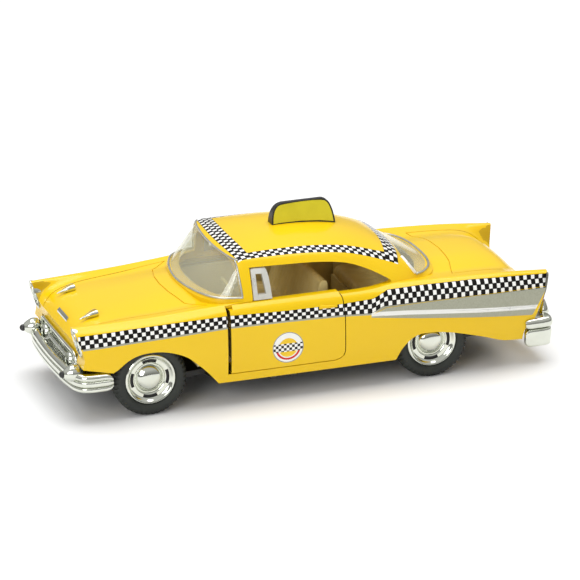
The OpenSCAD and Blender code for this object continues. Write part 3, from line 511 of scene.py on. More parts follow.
def enamel(name, badge=False):
    """Yellow paint with the printed check bands, the silver spear and, on a door, the round badge."""
    m = Net(name)
    side = m.abs(m.y)
    outward = m.mul(m.y, m.ny)
    outside = m.more(outward, m.mul(side, 0.2))
    top = m.curve(m.x, stripe_top, NOSE, TAIL, 10, 30)
    low = m.curve(m.x, stripe_low, NOSE, TAIL, 10, 30)
    v = m.math("DIVIDE", m.sub(m.z, low), m.sub(top, low))
    handle = m.both(m.more(m.x, 1.2), m.less(m.x, 5.9), m.more(side, 22.5),
                    m.more(m.z, 22.5)) if badge else 0.0
    band = m.both(outside, m.more(side, 18.4), m.more(v, 0.0), m.less(v, 1.0), m.more(m.x, -59.6))

    def checks(along, across):
        col = m.math("FLOOR", m.mul(m.sub(along, CHECK_X), 1.0 / CHECK))
        row = m.math("FLOOR", m.mul(across, 3.0))
        white = m.more(m.fract(m.mul(m.add(m.add(col, row), 200.0), 0.5)), 0.25)
        u = m.abs(m.sub(m.fract(m.mul(m.sub(along, CHECK_X), 1.0 / CHECK)), 0.5))
        w = m.abs(m.sub(m.fract(m.mul(across, 3.0)), 0.5))
        return m.both(white, m.less(u, 0.44), m.less(w, 0.43))

    side_checks = checks(m.x, v)
    # roof band: along the screen header, both sides and the rear edge
    y2 = m.mul(m.y, m.y)
    head = m.math("DIVIDE", m.sub(m.x, m.add(m.mul(y2, 0.004), -18.55)), 3.5)
    tail = m.math("DIVIDE", m.sub(m.sub(26.3, m.mul(y2, 0.0078)), m.x), 3.4)
    flank = m.math("DIVIDE", m.sub(16.55, side), 2.55)
    inside = m.both(m.more(m.nz, 0.25), m.more(m.z, 29.2), m.more(head, 0.0), m.more(tail, 0.0),
                    m.more(flank, 0.0))
    on_head, on_tail = m.less(head, 1.0), m.less(tail, 1.0)
    roof = m.both(inside, m.either(on_head, on_tail, m.less(flank, 1.0)))
    ends = m.either(on_head, on_tail)
    across = m.blend(ends, flank, m.blend(on_head, tail, head))
    along = m.blend(ends, m.x, m.y)
    roof_checks = checks(along, across)
    printed = m.either(m.both(band, m.no(handle)), roof)
    is_white = m.blend(roof, side_checks, roof_checks)

    line = m.both(outside, m.more(side, 19.0), m.less(v, 0.0), m.more(m.sub(m.z, low), -0.42),
                  m.less(m.x, 15.6), m.more(m.x, -58.6))
    edge = m.curve(m.x, spear_low, NOSE, TAIL, 10, 30)
    spear = m.both(outside, m.more(side, 19.0), m.more(m.x, 14.7), m.more(m.z, edge), m.less(v, 0.0),
                   m.less(m.sub(m.x, m.mul(m.sub(m.z, 13.4), 0.6)), 57.9))
    silver = m.either(line, spear)
    off_bead = m.abs(m.sub(m.z, m.curve(m.x, bead_line, 15.2, 58.6, 14, 20)))
    bright = m.both(spear, m.less(off_bead, 0.55))

    tone = m.noise(0.035, 2.0)
    fine = m.noise(2.2, 4.0)
    colour = m.mix(m.ramp(tone, 0.3, 0.7), (0.850, 0.560, 0.0040), (0.835, 0.535, 0.0030))
    wear = m.both(m.more(m.noise(0.9, 6.0, 0.62), 0.735), m.more(m.noise(0.12, 2.0), 0.5))
    colour = m.mix(m.mul(wear, 0.25), colour, (0.62, 0.36, 0.02))
    # painted shade: faces that turn inward, below z 24.5, are mixed 45% towards dark brown
    inner_shade = m.both(m.less(m.z, 24.5), m.less(outward, m.mul(side, -0.3)), m.less(m.abs(m.nz), 0.5))
    colour = m.mix(m.mul(inner_shade, 0.45), colour, (0.20, 0.11, 0.003))
    # painted shade: the front and rear faces of the door gaps are darkened almost to black
    door_gap_shade = m.both(m.more(side, 17.0), m.less(m.abs(m.ny), 0.55), m.less(m.z, 25.9),
                     m.less(m.abs(m.nz), 0.5),
                     m.more(m.x, -23.0), m.less(m.x, 8.6), m.more(m.z, 8.9),
                     m.either(m.less(m.x, -20.9), m.more(m.x, 5.6)))
    colour = m.mix(m.mul(door_gap_shade, 0.9), colour, GAP_SHADE)
    grain = m.mix(m.ramp(fine, 0.3, 0.7), SILVER, (0.34, 0.345, 0.265))
    colour = m.mix(silver, colour, m.mix(bright, grain, (0.82, 0.82, 0.78)))
    print_tone = m.mix(is_white, BLACK, WHITE)
    colour = m.mix(printed, colour, print_tone)
    metal = m.mul(silver, 0.45)
    dark = m.both(printed, m.no(is_white))
    rough = m.add(m.blend(silver, 0.24, 0.36), m.mul(m.sub(fine, 0.5), 0.06))
    if badge:
        bx, bz = m.sub(m.x, BADGE_X), m.sub(m.z, BADGE_Z)
        r = m.math("SQRT", m.add(m.mul(bx, bx), m.mul(bz, bz)))
        disc_mask = m.both(outside, m.less(r, 4.0), m.more(side, 21.0))
        rim = m.more(r, 3.78)
        red = m.both(m.more(r, 2.72), m.less(r, 3.25), m.less(bz, 0.2))
        grid = m.both(m.less(m.abs(bz), 1.05), m.less(r, 3.78))
        gcol = m.math("FLOOR", m.mul(m.add(bx, 20.0), 1.0 / 0.7))
        grow = m.math("FLOOR", m.mul(m.add(bz, 21.05), 1.0 / 0.7))
        gray = m.more(m.fract(m.mul(m.add(gcol, grow), 0.5)), 0.25)
        b = m.mix(m.both(m.less(r, 2.45)), (0.86, 0.86, 0.82), (0.86, 0.56, 0.02))
        b = m.mix(red, b, (0.62, 0.02, 0.015))
        b = m.mix(grid, b, m.mix(gray, BLACK, WHITE))
        b = m.mix(rim, b, (0.30, 0.30, 0.28))
        colour = m.mix(disc_mask, colour, b)
    m.bump(m.add(fine, m.mul(m.either(printed, silver), 0.6)), 0.12, 0.04)
    return m.set(Base_Color=colour, Metallic=metal, Roughness=rough,
                 Coat_Weight=m.mul(m.no(m.either(dark, silver)), 0.22),
                 Coat_Roughness=0.08, Specular_IOR_Level=m.blend(dark, 0.28, 0.10))


def coated(name, dark, light, metallic, rough, scale=1.2, bump=0.1, depth=0.03, coat=0.0, wear=None):
    """Finish with cloudy colour, uneven shine, fine bump and a little wear."""
    m = Net(name)
    cloud = m.noise(scale * 0.15, 3.0)
    fine = m.noise(scale * 2.0, 4.0)
    colour = m.mix(m.ramp(cloud, 0.3, 0.7), dark, light)
    if wear:
        spots = m.both(m.more(m.noise(scale * 0.8, 6.0, 0.65), 0.68), m.more(cloud, 0.48))
        colour = m.mix(m.mul(spots, 0.5), colour, wear)
    m.bump(fine, bump, depth)
    return m.set(Base_Color=colour, Metallic=metallic, Coat_Weight=coat,
                 Roughness=m.add(rough, m.mul(m.sub(cloud, 0.5), rough * 0.6)))


def clear(name, tint, strength=0.12, cloud=0.04):
    """Thin clear moulding: mostly see-through, with a glossy skin."""
    m = Net(name)
    t = m.tree
    see = t.nodes.new("ShaderNodeBsdfTransparent")
    see.inputs["Color"].default_value = (*tint, 1.0)
    shine = t.nodes.new("ShaderNodeBsdfGlossy")
    shine.inputs["Color"].default_value = (0.95, 0.97, 0.95, 1.0)
    m.link(m.add(0.045, m.mul(m.noise(0.4, 3.0), 0.05)), shine.inputs["Roughness"])
    edge = t.nodes.new("ShaderNodeLayerWeight")
    edge.inputs["Blend"].default_value = 0.5
    haze = m.add(m.mul(m.ramp(m.noise(0.05, 2.0), 0.3, 0.7), strength * 0.5), strength * 0.5)
    fac = m.math("ADD", m.mul(m.math("POWER", edge.outputs["Facing"], 5.0), 0.9), haze, clamp=True)
    blend = t.nodes.new("ShaderNodeMixShader")
    milk = t.nodes.new("ShaderNodeBsdfDiffuse")
    milk.inputs["Color"].default_value = (0.85, 0.84, 0.62, 1.0)
    soft = t.nodes.new("ShaderNodeMixShader")
    m.link(m.add(cloud, m.mul(m.noise(0.08, 3.0), cloud)), soft.inputs[0])
    t.links.new(see.outputs[0], soft.inputs[1])
    t.links.new(milk.outputs[0], soft.inputs[2])
    t.links.new(fac, blend.inputs[0])
    t.links.new(soft.outputs[0], blend.inputs[1])
    t.links.new(shine.outputs[0], blend.inputs[2])
    t.links.new(blend.outputs[0], m.out.inputs["Surface"])
    t.nodes.remove(m.bsdf)
    return m.mat


paint = enamel("paint_body")
paint_door = enamel("paint_door", badge=True)
chrome = coated("plating_chrome", (0.64, 0.66, 0.58), (0.73, 0.75, 0.67), 1.0, 0.09, 1.5, 0.06, 0.02,
                wear=(0.55, 0.55, 0.48))
bead = coated("plating_bead", (0.80, 0.80, 0.76), (0.88, 0.88, 0.84), 0.35, 0.3, 2.0, 0.08, 0.02)
trim = coated("plating_trim", (0.46, 0.46, 0.40), (0.60, 0.60, 0.54), 0.7, 0.22, 2.0, 0.08, 0.02)
gunmetal = coated("plating_dark", (0.10, 0.10, 0.09), (0.22, 0.22, 0.18), 0.8, 0.35, 2.5, 0.15, 0.03)
lining = coated("plastic_dark", (0.008, 0.008, 0.008), (0.016, 0.016, 0.015), 0.0, 0.6, 2.0, 0.15, 0.03)
satin = coated("paint_silver", (0.66, 0.66, 0.60), (0.76, 0.76, 0.70), 0.35, 0.3, 2.0, 0.1, 0.03)
rubber = coated("rubber_tyre", (0.012, 0.015, 0.012), (0.021, 0.025, 0.020), 0.0, 0.6, 2.0, 0.35, 0.06,
                wear=(0.06, 0.062, 0.055))
tan = coated("plastic_tan", (0.66, 0.55, 0.27), (0.76, 0.65, 0.34), 0.0, 0.45, 1.0, 0.15, 0.05, 0.1)
cream = coated("plastic_cream", (0.62, 0.50, 0.20), (0.74, 0.61, 0.28), 0.0, 0.5, 1.5, 0.2, 0.05)
black = coated("plastic_black", (0.012, 0.012, 0.012), (0.022, 0.022, 0.021), 0.0, 0.38, 1.5, 0.2, 0.05,
               wear=(0.05, 0.05, 0.05))
glass = clear("plastic_clear", (0.98, 0.99, 0.95), 0.12, 0.11)
lens_glass = clear("plastic_lens", (0.92, 0.94, 0.92), 0.3)
red_glass = coated("plastic_red", (0.42, 0.012, 0.008), (0.55, 0.02, 0.012), 0.0, 0.16, 1.5, 0.1, 0.03, 0.6)
sign_paint = coated("plastic_sign", (0.60, 0.53, 0.008), (0.70, 0.63, 0.015), 0.0, 0.35, 1.0, 0.08, 0.02, 0.2)
steel = coated("metal_steel", (0.45, 0.45, 0.46), (0.58, 0.58, 0.58), 1.0, 0.3, 2.0, 0.1, 0.02)
brass = coated("metal_brass", (0.58, 0.42, 0.14), (0.70, 0.53, 0.20), 1.0, 0.28, 2.0, 0.1, 0.02)
nylon = coated("plastic_nylon", (0.70, 0.68, 0.60), (0.80, 0.78, 0.70), 0.0, 0.42, 2.0, 0.1, 0.02)
casing = coated("plastic_casing", (0.028, 0.028, 0.032), (0.05, 0.05, 0.055), 0.0, 0.45, 2.0, 0.2, 0.04)

PLATED = (chrome, "body", "plated")
SILVER_TRIM = ("body", "silver_trim")

# ---------------------------------------------------------------- body shape
crest_z = [(-60.4, 24.2), (-50, 24.4), (-38, 24.8), (-28, 25.4), (-18, 26.0), (-6, 26.1), (8, 25.9),
           (24, 25.8), (36, 25.5), (50, 24.8), (62.4, 23.7)]
crest_y = [(-60.4, 18.2), (-50, 18.8), (-30, 19.6), (-16, 20.2), (22, 20.3), (40, 20.2), (62.4, 19.5)]
side_y = [(-60.4, 21.1), (-50, 22.2), (-38, 22.5), (-20, 22.8), (10, 23.0), (30, 22.9), (45, 22.6),
          (62.4, 21.0)]
deck_z = [(-60.4, 16.0), (-59.5, 17.6), (-58.4, 19.6), (-57, 21.4), (-55, 22.7), (-52, 23.7), (-47, 24.5),
          (-38, 25.3), (-28, 26.3), (0, 26.4), (34, 26.3), (44, 26.1), (50, 25.8), (53.4, 25.0),
          (55.9, 23.2), (58.4, 20.3), (61.1, 17.0), (62.4, 15.4)]
valley_z = [(-60.4, 16.2), (-59.5, 17.8), (-58.4, 19.7), (-57, 21.3), (-55, 22.4), (-52, 23.1), (-47, 23.7),
            (-38, 24.2), (-28, 25.0), (-16, 25.8), (8, 25.8), (26, 25.0), (36, 24.8), (44, 24.7),
            (50, 24.3), (53.4, 23.6), (55.9, 22.2), (58.4, 19.9), (61.1, 16.9), (62.4, 15.2)]
stations = np.concatenate([np.arange(NOSE, -50, 0.4), np.arange(-50, 48, 1.0), np.arange(48, 62.3, 0.4),
                           [TAIL]])


def half_section(x, o):
    zd, zv, zc = curve(deck_z, x), curve(valley_z, x), curve(crest_z, x)
    yc, ys = curve(crest_y, x), curve(side_y, x)
    zero = np.zeros_like(zd)
    rows = [(zero, zd - o), (zero + 6, mix(zd, zv, 0.12) - o), (zero + 11, mix(zd, zv, 0.6) - o),
            (zero + 14.2, zv - o), (zero + 16.4 - o * 0.3, mix(zv, zc, 0.28) - o),
            (yc - 1.1 - o * 0.6, zc - 0.14 - o), (yc - o * 0.7, zc - o), (yc + 0.9 - o * 0.9, zc - 0.45 - o),
            (ys - 0.75 - o, zc - 1.35 - o * 0.7), (ys - 0.2 - o, zc - 3 - o * 0.3), (ys - o, zero + 19.5),
            (ys + 0.05 - o, zero + 16), (ys - 0.05 - o, zero + 12.5), (ys - 0.3 - o, zero + 9.4),
            (ys - 0.75 - o, zero + (3 if o > 0 else 6.4))]
    return np.stack([np.stack(r, axis=-1) for r in rows], axis=-2)


def lower(o):
    """Lower body as a closed block, its surface moved inward by o."""
    h = smooth(half_section(stations, o), 4)
    left = h[:, :0:-1, :] * [-1, 1]
    ring = np.concatenate([left, h], axis=1)
    xs = np.broadcast_to(stations[:, None, None], (*ring.shape[:2], 1))
    return loft("lower", np.concatenate([xs, ring], axis=2))


def side_at(x, z, o=0.0):
    """Half width of the body side at one place below the crest."""
    h = smooth(half_section(np.array([float(x)]), o), 4)[0]
    h = h[int(np.argmax(h[:, 1] * (h[:, 0] > 17))):]
    return float(np.interp(-z, -h[:, 1], h[:, 0]))


belt = [(-28.7, 0, 26.6), (-28.4, 5, 26.5), (-27.4, 10.5, 26.3), (-26.2, 14, 26.2), (-24.5, 16.8, 26.2),
        (-22, 18.7, 26.1), (-18.4, 19.8, 26.0), (-15.8, 20.3, 26.0), (-5, 20.6, 25.8), (5.5, 20.6, 25.7),
        (14, 20.5, 25.6), (21, 20.0, 25.5), (26, 18.6, 25.2), (28.7, 17.2, 25.0), (32, 16.0, 25.0),
        (34.3, 13.4, 25.4), (35.6, 8.5, 25.8), (35.9, 0, 26.0)]
eave = [(-18.7, 0, 36.3), (-18.6, 5, 36.3), (-18.3, 10, 36.2), (-18.0, 13.4, 36.0), (-17.7, 15.2, 35.8),
        (-17.2, 16.1, 35.7), (-16.4, 16.6, 35.6), (-15.0, 16.75, 35.6), (-4.4, 16.9, 35.4),
        (3.2, 16.9, 34.9), (10.4, 16.8, 33.9), (15.2, 16.7, 32.6), (20, 16.4, 31.1), (23.4, 15.9, 30.2),
        (25.0, 14.8, 30.1), (26.0, 12, 30.3), (26.6, 7, 30.6), (26.8, 0, 30.8)]
roof_mid = [(-18.7, 36.3), (-15, 37.1), (-10, 37.7), (-4, 38.05), (2, 38.05), (8, 37.6), (13, 36.8),
            (18, 35.4), (22, 33.8), (26.8, 30.8)]
roof_side = [(-18.7, 35.7), (-4.4, 35.4), (3.2, 34.9), (10.4, 33.9), (15.2, 32.6), (20, 31.1), (26.8, 30.0)]
ROOF_X = 4.0  # place that the roof rings shrink towards
CAP = 0.955  # share of the eave outline where the roof edge has turned level


def roof_z(x, y):
    a, b = curve(roof_mid, x), curve(roof_side, x)
    return a - (a - b) * np.minimum(1, np.abs(y) / 16.9) ** 2.4


def whole(half):
    """Half ring, middle front to middle rear, made a whole smooth ring."""
    h = [tuple(map(float, p)) for p in half]
    return smooth(h + [(x, -y, z) for x, y, z in h[-2:0:-1]], 5, closed=True)


belt_ring, eave_ring = whole(belt), whole(eave)
mid_ring = (belt_ring + eave_ring) / 2
mid_ring[:, 1] += 0.35 * np.sign(mid_ring[:, 1]) * (np.abs(belt_ring[:, 1]) > 15)


def pillar_ring(u):
    return (belt_ring * (2 * u * u - 3 * u + 1) + mid_ring * (4 * u - 4 * u * u)
            + eave_ring * (2 * u * u - u))


def cap_ring(s):
    r = eave_ring.copy()
    r[:, 0] = ROOF_X + (r[:, 0] - ROOF_X) * s
    r[:, 1] *= s
    r[:, 2] = roof_z(r[:, 0], r[:, 1])
    return r


def pull(r, o):
    q = r.copy()
    q[:, 0] = ROOF_X + (q[:, 0] - ROOF_X) * (1 - o * 1.4 / 30)
    q[:, 1] *= 1 - o / 18.5
    q[:, 2] -= o * 0.9
    return q


def cabin(o, z0):
    """Cabin as a closed block, its surface moved inward by o."""
    foot = pull(belt_ring, o)
    foot[:, 2] = z0
    first = pull(belt_ring, o)
    first[:, 2] = belt_ring[:, 2]
    rings = [foot, first]
    rings += [pull(pillar_ring(u), o) for u in (0.12, 0.25, 0.38, 0.5, 0.62, 0.74, 0.84, 0.91)]
    a, b, c = pull(pillar_ring(0.91), o), pull(eave_ring, o), pull(cap_ring(CAP), o)
    rings += [a * (1 - t) ** 2 + b * 2 * t * (1 - t) + c * t * t for t in (0.2, 0.4, 0.6, 0.8)]
    rings += [pull(cap_ring(s), o)
              for s in (CAP, 0.93, 0.9, 0.85, 0.8, 0.7, 0.6, 0.5, 0.4, 0.3, 0.2, 0.1, 0.03)]
    return loft("cabin", rings)


outline = smooth_parts(
    [(62.6, 45), (62.6, 24.4), (62.1, 22.6), (61.4, 19.4), (59.3, 14), (58.5, 12), (56.6, 10.6), (55.6, 8.5),
     (55.3, 6.9), (50, 7.5), (45.1, 9.2), (40.2, 10.7), (36, 11.8), (31.4, 12.5), (27.4, 12.5), (25.3, 11.6),
     (22.9, 9.3), (21.3, 6.4), (-24.7, 6.4), (-27.3, 9.5), (-29.6, 11.8), (-32.8, 14.5), (-36.6, 16.1),
     (-40.3, 16.8), (-44.5, 16.6), (-47.4, 15.5), (-50.2, 13.4), (-51.4, 12.7), (-58.7, 14.2), (-58.3, 16.7),
     (-59.4, 20.7), (-60.4, 24.3), (-60.4, 45)],
    [0, 1, 4, 8, 17, 18, 27, 28, 31, 32])
cavity = [(61, 45), (61, 24.2), (60.1, 19.8), (57.8, 14.4), (57.1, 12.6), (55.2, 11.2), (54.2, 8.9),
          (53.9, 0), (-57.3, 0), (-57.3, 16.7), (-58.3, 20.9), (-59.2, 24.3), (-59.2, 45)]
door_outline = [(-21.5, 8.7), (-21.5, 28), (6.0, 28), (6.5, 26.6), (7.3, 24.6), (7.8, 20), (7.8, 10.8),
                (7.4, 9.7), (6.4, 9.0), (5.2, 8.7)]
window_outline = smooth_parts(
    [(-15.0, 25.9), (-15.0, 33.7), (-7.6, 33.5), (2.8, 33.0), (10, 31.9), (14.8, 30.1), (18.7, 28),
     (21.2, 26.2), (20.6, 25.8), (13.9, 25.3), (5.9, 25.3)], [0, 1, 8])
screen_outline = [(-45, 27.0), (-17.5, 26.8), (-18.0, 35.3), (-45, 35.3)]
rear_outline = [(27.4, 34), (26.2, 30.0), (28.9, 26.1), (50, 26.1), (50, 34)]
spear_outline = [(15.2, 19.5), (18.5, 20.7), (27.4, 20.8), (42.1, 20.7), (62, 20.1), (60, 13.3), (57.8, 13.4),
                 (42.1, 15.3), (27.4, 17.0), (19, 18.5)]
bonnet_plan = [(-61.5, -12.8), (-50, -15.2), (-38, -16.2), (-25.5, -17.4), (-30.2, -13), (-32, -6),
               (-32.4, 0), (-32, 6), (-30.2, 13), (-25.5, 17.4), (-38, 16.2), (-50, 15.2), (-61.5, 12.8)]
boot_plan = [(38.2, -16.6), (40.2, -9), (40.8, 0), (40.2, 9), (38.2, 16.6), (56, 16), (60, 15), (60, -15),
             (56, -16)]


def grow(points, d):
    """Outline moved outward by d (inward when negative)."""
    p = np.asarray(points, float)
    a, b = p - np.roll(p, 1, 0), np.roll(p, -1, 0) - p
    area = np.sum(p[:, 0] * np.roll(p[:, 1], -1) - p[:, 1] * np.roll(p[:, 0], -1))
    sgn = 1.0 if area > 0 else -1.0
    na = np.stack([a[:, 1], -a[:, 0]], 1) / np.linalg.norm(a, axis=1, keepdims=True) * sgn
    nb = np.stack([b[:, 1], -b[:, 0]], 1) / np.linalg.norm(b, axis=1, keepdims=True) * sgn
    n = na + nb
    n /= np.linalg.norm(n, axis=1, keepdims=True)
    k = 1 / np.maximum(np.sum(n * na, axis=1, keepdims=True), 0.4)
    return [tuple(v) for v in p + n * d * k]


def seam(plan, width=0.26, depth=0.35):
    """Shallow ring that engraves a line round a flat outline."""
    ring = plate("seam", plan, 15, 30)
    cut(ring, plate("seam_in", grow(plan, -width), 14, 31), lower(depth))
    return ring


def door_holes():
    out = []
    for s in (-1, 1):
        a, b = (-30, -17.6) if s < 0 else (17.6, 30)
        h = prism("hole", grow(door_outline, 0.22), a, b)
        add(h, block("front", -22.35, -18.35, a, b, 8.48, 26.3))
        cut(h, block("shelf", -30, -15.2, -20.35, 20.35, 25.0, 45),
            block("shelf2", -30, 30, -20.8, 20.8, 26.1, 46.1))
        out.append(h)
    return out


WHEELS = {"front": -41.6, "rear": 31.4}  # axle places along the car
AXLE_Z, TYRE_R, TRACK, TYRE_W = 9.3, 9.3, 21.3, 4.8


def body_shell():
    b = lower(0)
    add(b, cabin(0, 24))
    relief = lower(-0.25)
    boolean(relief, prism("spear", spear_outline), "INTERSECT")
    add(b, relief)
    boolean(b, prism("outline", outline), "INTERSECT")
    hollow = lower(1.2)
    boolean(hollow, prism("cavity", cavity), "INTERSECT")
    cut(hollow, *[block("end", x, x + 20, y, y + 20, 0, 40) for x in (-74.5, 54.5) for y in (-34.6, 14.6)])
    cut(b, hollow, cabin(1.2, 16), prism("window", window_outline),
        prism("screen", screen_outline), prism("rear", rear_outline))
    cut(b, *door_holes())
    for x in WHEELS.values():
        cut(b, rod("well", (x, -21.75, AXLE_Z), (x, 21.75, AXLE_Z), TYRE_R + 1.1, 96))
    for s in (-1, 1):
        cut(b, block("relief", -26.2, -21.2, s * 20 - 2, s * 20 + 2, 8, 23))
        cut(b, rod("lamp", (-65, s * 18.7, 20.4), (-57.3, s * 18.7, 20.4), 2.0, 48))
    cut(b, block("mouth", -70, -56, -15.6, 15.6, 2, 16.3))
    cut(b, seam(bonnet_plan), seam(boot_plan))
    for x, z in ((-50.6, 23.1), (51.6, 24.6)):
        add(b, rod("post", (x, 0, 7.1), (x, 0, z), 1.95, 40))
        cut(b, rod("bore", (x, 0, 6), (x, 0, 14), 1.0, 32))
    b.name = "shell"
    return b


piece(body_shell(), paint, "body", "yellow_paint", ["body_shell"], sharp=30)

# ---------------------------------------------------------------- doors
HINGE = (-20.4, 21.15)  # door pin, x and distance from the middle
LUG_Z, LUG_H = (11.2, 20.2), 1.2


def door(s):
    d = lower(0)
    cut(d, lower(2.1))
    side = block("side", -30, 30, *((-30, -18.9) if s < 0 else (18.9, 30)), 0, 25.75)
    boolean(d, side, "INTERSECT")
    keep = block("k1", -20.6, -10, *((-40, -20.57) if s < 0 else (20.57, 40)), 0, 30)
    add(keep, block("k2", -30, 30, -30, 30, 0, 24.78), block("k3", -15.19, 24.8, -30, 30, 0, 30))
    boolean(d, keep, "INTERSECT")
    boolean(d, prism("edge", door_outline), "INTERSECT")
    for z in LUG_Z:
        y0 = -HINGE[1] - 1.05 if s < 0 else HINGE[1] - 3.6
        cut(d, block("pocket", HINGE[0] - 2, HINGE[0] + 1.1, y0, y0 + 4.65, z - 0.25, z + 1.45))
    for z in LUG_Z:
        add(d, rod("pin", (HINGE[0], s * HINGE[1], z - 0.75), (HINGE[0], s * HINGE[1], z + LUG_H - 0.2), 0.45,
                   24))
    # handle: a scooped bar lying on the side
    ys = side_at(3.5, 22.9)
    h = tube("handle", smooth([(1.4, s * (ys - 0.4), 23.2), (2.0, s * (ys - 0.1), 23.1),
                               (3.5, s * ys, 22.9), (5.0, s * (ys - 0.1), 22.75),
                               (5.6, s * (ys - 0.4), 22.7)], 4), 0.4, 12)
    add(d, h)
    d.name = "door_" + ("left" if s < 0 else "right")
    return d


for s, n in ((-1, "door_left"), (1, "door_right")):
    piece(door(s), paint_door, n, "yellow_paint", [n], sharp=30)

frame_outline = smooth_parts([(-14.75, 26.0), (-14.7, 33.1), (-14.3, 33.3), (-11.2, 33.2), (-10.7, 32.8),
                              (-10.0, 26.0)], [0, 1, 3, 5], 3)
frame_hole = [(-13.6, 27.2), (-13.6, 32.1), (-12.0, 32.0), (-11.4, 27.2)]
for s, n in ((-1, "quarter_frame_left"), (1, "quarter_frame_right")):
    q = cabin(0.1, 24)
    cut(q, cabin(1.0, 23.5), prism("hole", frame_hole))
    boolean(q, prism("edge", frame_outline), "INTERSECT")
    boolean(q, block("half", -20, -8, *((-30, -10) if s < 0 else (10, 30)), 25.8, 35.8), "INTERSECT")
    q.name = "vent_" + n[14:]
    piece(q, satin, "door_left" if s < 0 else "door_right", "silver_trim", [n], sharp=30, bevel=0.12)

# ---------------------------------------------------------------- glazing
g = cabin(0.2, 24)
cut(g, cabin(0.9, 20))
win = prism("screens", grow(screen_outline, -0.12))
add(win, prism("rears", grow(rear_outline, -0.12)))
boolean(g, win, "INTERSECT")
cut(g, block("under", -60, 60, -30, 30, 10, 26.2))
g.name = "glazing_shell"
piece(g, glass, "body", "clear", ["glazing"], sharp=30)

# ---------------------------------------------------------------- interior
def seat(name, profile, w, pleat=1.9):
    """Bench moulded with upright pleats."""
    base = smooth(profile, 5, closed=True)
    c = base.mean(axis=0)
    rings = []
    for y in np.linspace(-w, w, int(w * 2 / 0.22)):
        puff = 0.3 * abs(math.cos(math.pi * y / pleat)) ** 0.6
        end = min(1.0, (w - abs(y)) / 0.9 + 0.55)
        k = end ** 0.35
        r = c + (base - c) * k
        n = (base - c) / np.linalg.norm(base - c, axis=1, keepdims=True)
        rings.append([(p[0] + q[0] * (puff - 0.3), y, p[1] + q[1] * (puff - 0.3)) for p, q in zip(r, n)])
    return loft(name, rings)


tub = block("tub", -29, 20, -18.7, 18.7, 10.2, 11.1)
add(tub, block("a", 18.4, 32.0, -15.7, 15.7, 15.9, 16.8), block("b", 17.8, 18.7, -15.7, 15.7, 10.2, 16.8),
    block("c", -29, -28.1, -18.7, 18.7, 10.2, 23.2))
for s in (-1, 1):
    add(tub, block("d", -29, 20, s * 18.25 - 0.45, s * 18.25 + 0.45, 10.2, 22.8),
        block("e", 18.4, 32.0, s * 15.25 - 0.45, s * 15.25 + 0.45, 15.9, 23.2))
    for z in LUG_Z:
        add(tub, block("f", HINGE[0] - 0.8, HINGE[0] + 0.8, *((-HINGE[1], -18) if s < 0 else (18, HINGE[1])),
                       z, z + LUG_H))
        add(tub, rod("g", (HINGE[0], s * HINGE[1], z), (HINGE[0], s * HINGE[1], z + LUG_H), 0.86, 32))
        cut(tub, rod("h", (HINGE[0], s * HINGE[1], z - 2), (HINGE[0], s * HINGE[1], z + 4), 0.5, 24))
piece(tub, tan, "body", "tan_plastic", ["interior_tub"], sharp=30, bevel=0.12)
dash = smooth_parts([(-28.4, 19), (-24.3, 19), (-22.1, 21.6), (-22.3, 23.5), (-23.3, 23.9), (-24.5, 23.45),
                     (-28.4, 23.4)],
                    [0, 1, 6], 4)
db = prism("dashboard", dash, -16.0, 16.0)
cut(db, rod("col", (-25, -8.5, 21.3), (-18, -8.5, 24.56), 0.75, 20))
piece(db, tan, "body", "tan_plastic", sharp=30, bevel=0.15)
piece(seat("seat_front", [(-8.5, 11.2), (-8.8, 14.5), (-8.3, 16.2), (-6.5, 16.9), (-2, 16.6), (0.6, 16.6),
                          (1.8, 18.5), (3.4, 24), (3.9, 26.6), (4.8, 27.2), (5.7, 26.8), (5.9, 25), (5.0, 19),
                          (4.3, 14), (4.0, 11.2)], 16.2), cream, "body", "cream_plastic", sharp=50)
piece(seat("seat_rear", [(18.3, 16.85), (18.0, 18.4), (18.6, 19.3), (21, 19.4), (23.9, 19.2), (25.4, 19.6),
                         (26.9, 22), (28.3, 24.7), (29.2, 25.25), (30.2, 25.0), (30.4, 23), (29.8, 19),
                         (29.2, 16.85)],
           14.2), cream, "body", "cream_plastic", sharp=50)
wheel_c = Vector((-22.6, -8.5, 22.4))
w_ax = Vector((math.sin(math.radians(65)), 0, math.cos(math.radians(65))))
hub_c = wheel_c + w_ax * 6.0
w_u = Vector((0, 1, 0))
w_v = w_ax.cross(w_u)
circle = [hub_c + (w_u * math.cos(a) + w_v * math.sin(a)) * 3.6 for a in np.linspace(0, 2 * math.pi, 49)[:-1]]
rings = []
for p in circle:
    out_dir = (p - hub_c).normalized()
    rings.append([p + (out_dir * math.cos(b) + w_ax * math.sin(b)) * 0.4 for b in np.linspace(0, 2 * math.pi,
                                                                                              13)[:-1]])
sw = [loft("w", rings + [rings[0]], caps=False)]
sw[0].data.validate()
for a in (90, 210, 330):
    d = w_u * math.cos(math.radians(a)) + w_v * math.sin(math.radians(a))
    sw.append(tube("s", [hub_c, hub_c + d * 1.8, hub_c + d * 3.5], 0.3, 10, soft=0, flat=0.6))
sw.append(tube("c", [wheel_c + w_ax * t for t in (0.4, 3, 5.6)], 0.6, 20, soft=0))
sw.append(lathe("hub", [(0, -0.3), (1.0, -0.2), (1.05, 0.1), (0.7, 0.45), (0, 0.6)], hub_c, w_ax, 32))
piece(weld(join("steering", sw)), cream, "body", "cream_plastic", ["steering_wheel"], sharp=50)

# ---------------------------------------------------------------- bumpers
def plan_path(half):
    """Half outline (x, y) from the side to the middle, mirrored and rounded."""
    return smooth(half + [(x, -y) for x, y in half[-2::-1]], 6)


